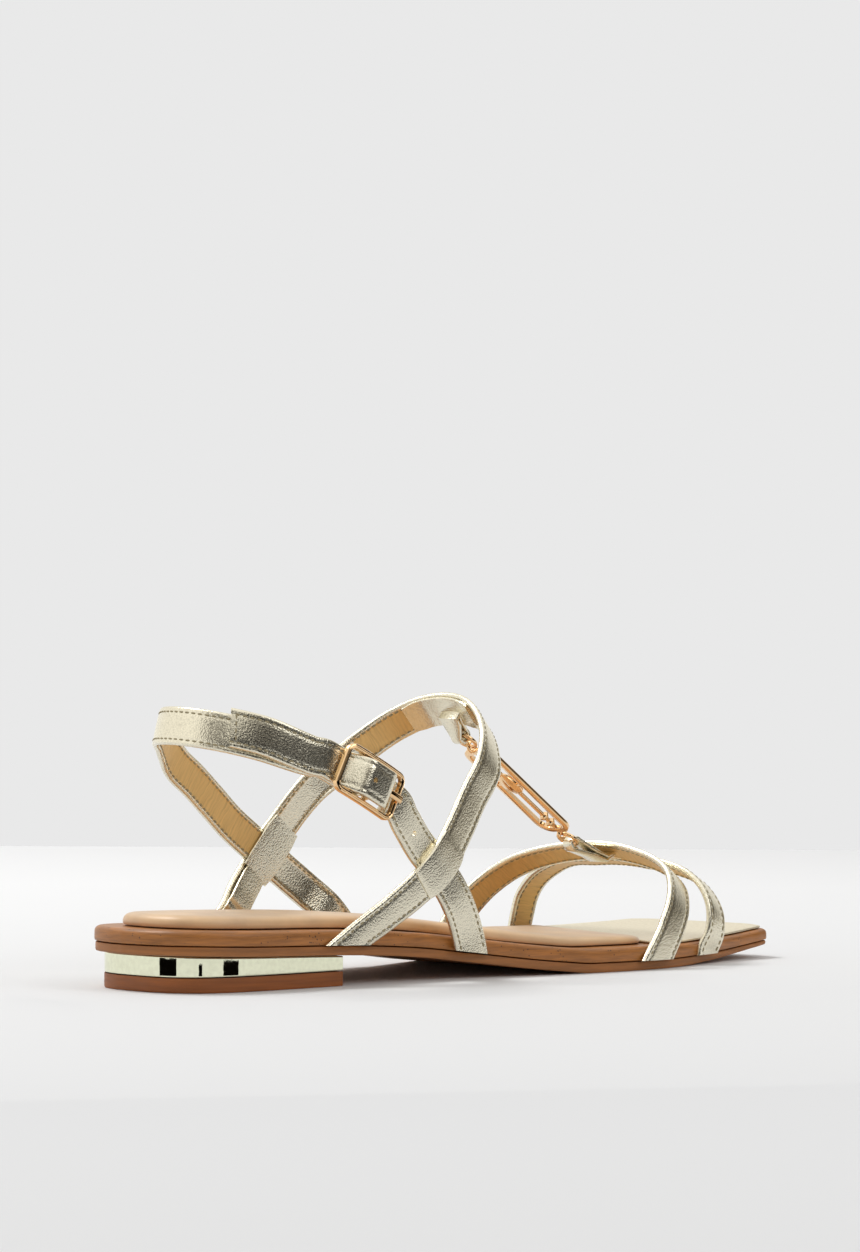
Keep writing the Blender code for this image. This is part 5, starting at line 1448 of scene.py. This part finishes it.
def build_stage():
    scene = bpy.context.scene
    forward = Vector((math.sin(CAMERA_TURN), math.cos(CAMERA_TURN), 0.0))
    right = Vector((forward.y, -forward.x, 0.0))
    tilt = right * math.cos(CAMERA_ROLL) + Vector((0, 0, math.sin(CAMERA_ROLL)))
    up = tilt.cross(forward)
    camera = bpy.data.objects.new("camera", bpy.data.cameras.new("camera"))
    camera.matrix_world = Matrix.Translation(CAMERA_PLACE) @ Matrix((tilt, up, -forward)).transposed().to_4x4()
    camera.data.sensor_fit = "VERTICAL"
    camera.data.sensor_height = 36.0
    camera.data.lens = 138.3
    scene.collection.objects.link(camera)
    scene.camera = camera
    scene.view_settings.view_transform = "Standard"

    bm = bmesh.new()
    far = CAMERA_PLACE + forward * FLOOR_REACH
    corners = [far + right * 2.5, far - right * 2.5, far - right * 2.5 - forward * 4.5, far + right * 2.5 - forward * 4.5]
    bm.faces.new([bm.verts.new((point.x, point.y, 0.0)) for point in corners])
    bmesh.ops.subdivide_edges(bm, edges=bm.edges, cuts=3, use_grid_fill=True)
    bmesh.ops.recalc_face_normals(bm, faces=bm.faces)
    data = bpy.data.meshes.new("studio_floor")
    bm.to_mesh(data)
    bm.free()
    floor = bpy.data.objects.new("studio_floor", data)
    scene.collection.objects.link(floor)
    material, tree, shader = new_material("matt_white_floor")
    # Painted light: the floor's colour runs from #EFEFEF near the camera to #FDFDFD further back, painting the
    # brighter light at the back of the floor
    back = add(tree, "ShaderNodeVectorMath", {0: add(tree, "ShaderNodeTexCoord").outputs["Object"],
                                              1: forward}, operation="DOT_PRODUCT")
    away = add(tree, "ShaderNodeMapRange", {"Value": back.outputs["Value"], "From Min": 0.0, "From Max": 0.55})
    tree.links.new(ramp(tree, away.outputs["Result"], ((0.0, "#EFEFEF"), (1.0, "#FDFDFD"))), shader.inputs["Base Color"])
    shader.inputs["Roughness"].default_value = 0.75
    shader.inputs["Specular IOR Level"].default_value = 0.25
    data.materials.append(material)

    for name, place, size, energy in (("key_softbox", (-0.35, 0.8, 1.7), 0.9, 18.5),
                                      ("front_softbox", (0.45, -1.35, 0.95), 0.9, 4.0)):
        lamp = bpy.data.lights.new(name, "AREA")
        lamp.shape = "DISK"
        lamp.size = size
        lamp.energy = energy
        light = bpy.data.objects.new(name, lamp)
        light.location = place
        aim = Vector((0.03, 0.0, 0.03)) - Vector(place)
        light.rotation_euler = aim.to_track_quat("-Z", "Y").to_euler()
        scene.collection.objects.link(light)
    for index, (start, end, tall) in enumerate(REFLECTED_CARDS):
        bm = bmesh.new()
        low = [bm.verts.new(((x - HEEL_MIDDLE) * MM, y * MM, 0.0002)) for x, y in (start, end)]
        edge = bm.edges.new(low)
        made = bmesh.ops.extrude_edge_only(bm, edges=[edge])
        high = [item for item in made["geom"] if isinstance(item, bmesh.types.BMVert)]
        bmesh.ops.translate(bm, vec=(0, 0, tall * MM), verts=high)
        data = bpy.data.meshes.new(f"black_card_{index + 1}")
        bm.to_mesh(data)
        bm.free()
        card = bpy.data.objects.new(data.name, data)
        scene.collection.objects.link(card)
        data.materials.append(flocked_card())
        card.visible_camera = card.visible_diffuse = card.visible_shadow = False
    build_world(scene, forward)


def flocked_card():
    """Black flocked card: no sheen at all, seen only as the dark bars in the mirror heel."""
    if "black_flock" in bpy.data.materials:
        return bpy.data.materials["black_flock"]
    material, tree, shader = new_material("black_flock")
    shader.inputs["Base Color"].default_value = linear("#0A0806")
    shader.inputs["Roughness"].default_value = 1.0
    shader.inputs["Specular IOR Level"].default_value = 0.0
    return material


def build_world(scene, forward):
    """The studio as a sky: the pale wall for the camera, and softboxes and dark gaps for reflections."""
    world = bpy.data.worlds.new("studio")
    scene.world = world
    world.use_nodes = True
    tree = world.node_tree
    tree.nodes.clear()
    ray = add(tree, "ShaderNodeLightPath")
    view = add(tree, "ShaderNodeTexCoord").outputs["Generated"]
    parts = add(tree, "ShaderNodeSeparateXYZ", {"Vector": view})
    height = add(tree, "ShaderNodeMapRange", {"Value": parts.outputs["Z"], "From Min": -1.0, "From Max": 1.0})
    rise = ramp(tree, height.outputs["Result"], ((0.0, "#EDEDED"), (0.5, "#F0F0F0"), (0.535, "#BDB8AC"),
                                                 (0.58, "#453F34"), (0.72, "#2E2921"), (0.80, "#7E786B"),
                                                 (0.87, "#FFFDF8"), (1.0, "#FFFFFF")))
    azimuth = add(tree, "ShaderNodeMath", {0: parts.outputs["Y"], 1: parts.outputs["X"]}, operation="ARCTAN2")
    turn = add(tree, "ShaderNodeMapRange", {"Value": azimuth.outputs["Value"], "From Min": -math.pi,
                                                "From Max": math.pi})
    around = ramp(tree, turn.outputs["Result"], STUDIO_RING)
    below = add(tree, "ShaderNodeMath", {0: parts.outputs["Z"], 1: 0.0}, operation="LESS_THAN")
    mixed = add(tree, "ShaderNodeMix", {"Factor": around, "A": linear("#FBF9F3"), "B": rise}, data_type="RGBA")
    glossy = add(tree, "ShaderNodeMix", {"Factor": below.outputs["Value"], "A": mixed.outputs["Result"],
                                         "B": linear("#F0F0F0")}, data_type="RGBA")
    lit = add(tree, "ShaderNodeBackground", {"Color": linear("#F6F6F6"), "Strength": 0.53})
    seen = add(tree, "ShaderNodeBackground", {"Color": linear("#E9E9E9"), "Strength": 1.0})
    shine = add(tree, "ShaderNodeBackground", {"Color": glossy.outputs["Result"], "Strength": 1.15})
    first = add(tree, "ShaderNodeMixShader", {"Fac": ray.outputs["Is Glossy Ray"], 1: lit.outputs["Background"],
                                              2: shine.outputs["Background"]})
    last = add(tree, "ShaderNodeMixShader", {"Fac": ray.outputs["Is Camera Ray"], 1: first.outputs["Shader"],
                                             2: seen.outputs["Background"]})
    add(tree, "ShaderNodeOutputWorld", {"Surface": last.outputs["Shader"]})


# How much of the dark gap under the softboxes shows round the horizon, from west through south
STUDIO_RING = ((0.0, "#202020"), (0.035, "#202020"), (0.05, "#FFFFFF"), (0.09, "#F0F0F0"), (0.11, "#505050"),
               (0.14, "#505050"), (0.175, "#FFFFFF"), (0.235, "#F0F0F0"), (0.26, "#BBBBBB"),
               (0.285, "#FFFFFF"), (0.45, "#FFFFFF"), (0.52, "#8A8A8A"), (0.75, "#5A5A5A"), (1.0, "#202020"))


# --- the add-on ----------------------------------------------------------------------------------

def built(work, *names):
    """Run a builder and fail plainly where a piece is missing."""
    work()
    missing = [name for name in names if name not in bpy.data.objects]
    if missing:
        raise RuntimeError("not built: " + ", ".join(missing))
    return {"FINISHED"}


class SANDAL_OT_sole(bpy.types.Operator):
    """Build the outsole, the wrapped rim, the padded footbed, the toe panel and the heel."""
    bl_idname = "sandal.sole"
    bl_label = "Sole"

    def execute(self, context):
        def work():
            build_outsole()
            build_rim()
            build_footbed()
            build_toe_panel()
            build_heel()
        return built(work, "outsole_rubber_unit", "wrapped_rim", "padded_footbed", "toe_panel",
                     "top_lift", "mirror_heel_band")


class SANDAL_OT_ankle_straps(bpy.types.Operator):
    """Build the instep strap, the heel strap and the strap through the buckle, with their stitches."""
    bl_idname = "sandal.ankle_straps"
    bl_label = "Ankle straps"

    def execute(self, context):
        def work():
            build_instep_strap()
            build_heel_strap()
            build_billet()
        return built(work, "instep_strap", "heel_strap", "billet_strap")


class SANDAL_OT_buckle(bpy.types.Operator):
    """Build the buckle's frame and its prong."""
    bl_idname = "sandal.buckle"
    bl_label = "Buckle"

    def execute(self, context):
        return built(build_buckle, "buckle_frame_cast", "buckle_prong_cast")


class SANDAL_OT_vamp_straps(bpy.types.Operator):
    """Build the two vamp straps and their stitches."""
    bl_idname = "sandal.vamp_straps"
    bl_label = "Vamp straps"

    def execute(self, context):
        return built(build_vamp, "rear_vamp_strap", "front_vamp_strap")


class SANDAL_OT_ornament(bpy.types.Operator):
    """Build the linked ornament, its two rings and the leather loops that hold them."""
    bl_idname = "sandal.ornament"
    bl_label = "Ornament and loops"

    def execute(self, context):
        def work():
            build_tabs()
            build_ornament()
        return built(work, "instep_tab_loop", "vamp_tab_loop", "ornament_cast")


class SANDAL_OT_stage(bpy.types.Operator):
    """Set up the floor, the lights, the sky and the camera."""
    bl_idname = "sandal.stage"
    bl_label = "Stage"

    def execute(self, context):
        return built(build_stage, "studio_floor", "camera")


class SANDAL_PT_panel(bpy.types.Panel):
    """Lists the sizes, the colours and one button for each group of pieces."""
    bl_idname = "SANDAL_PT_panel"
    bl_label = "Sandal"
    bl_space_type = "VIEW_3D"
    bl_region_type = "UI"
    bl_category = "Sandal"

    def draw(self, context):
        for name in SandalSettings.__annotations__:
            self.layout.prop(context.scene.sandal_settings, name)
        for operator in OPERATORS:
            self.layout.operator(operator.bl_idname)


OPERATORS = (SANDAL_OT_sole, SANDAL_OT_ankle_straps, SANDAL_OT_buckle, SANDAL_OT_vamp_straps,
             SANDAL_OT_ornament, SANDAL_OT_stage)
CLASSES = (SandalSettings,) + OPERATORS + (SANDAL_PT_panel,)


def register():
    for kind in CLASSES:
        bpy.utils.register_class(kind)
    bpy.types.Scene.sandal_settings = bpy.props.PointerProperty(type=SandalSettings)


def unregister():
    del bpy.types.Scene.sandal_settings
    for kind in reversed(CLASSES):
        bpy.utils.unregister_class(kind)


def main():
    register()
    bpy.ops.sandal.stage()
    bpy.ops.sandal.sole()
    bpy.ops.sandal.ankle_straps()
    bpy.ops.sandal.buckle()
    bpy.ops.sandal.vamp_straps()
    bpy.ops.sandal.ornament()


if __name__ == "__main__":
    main()
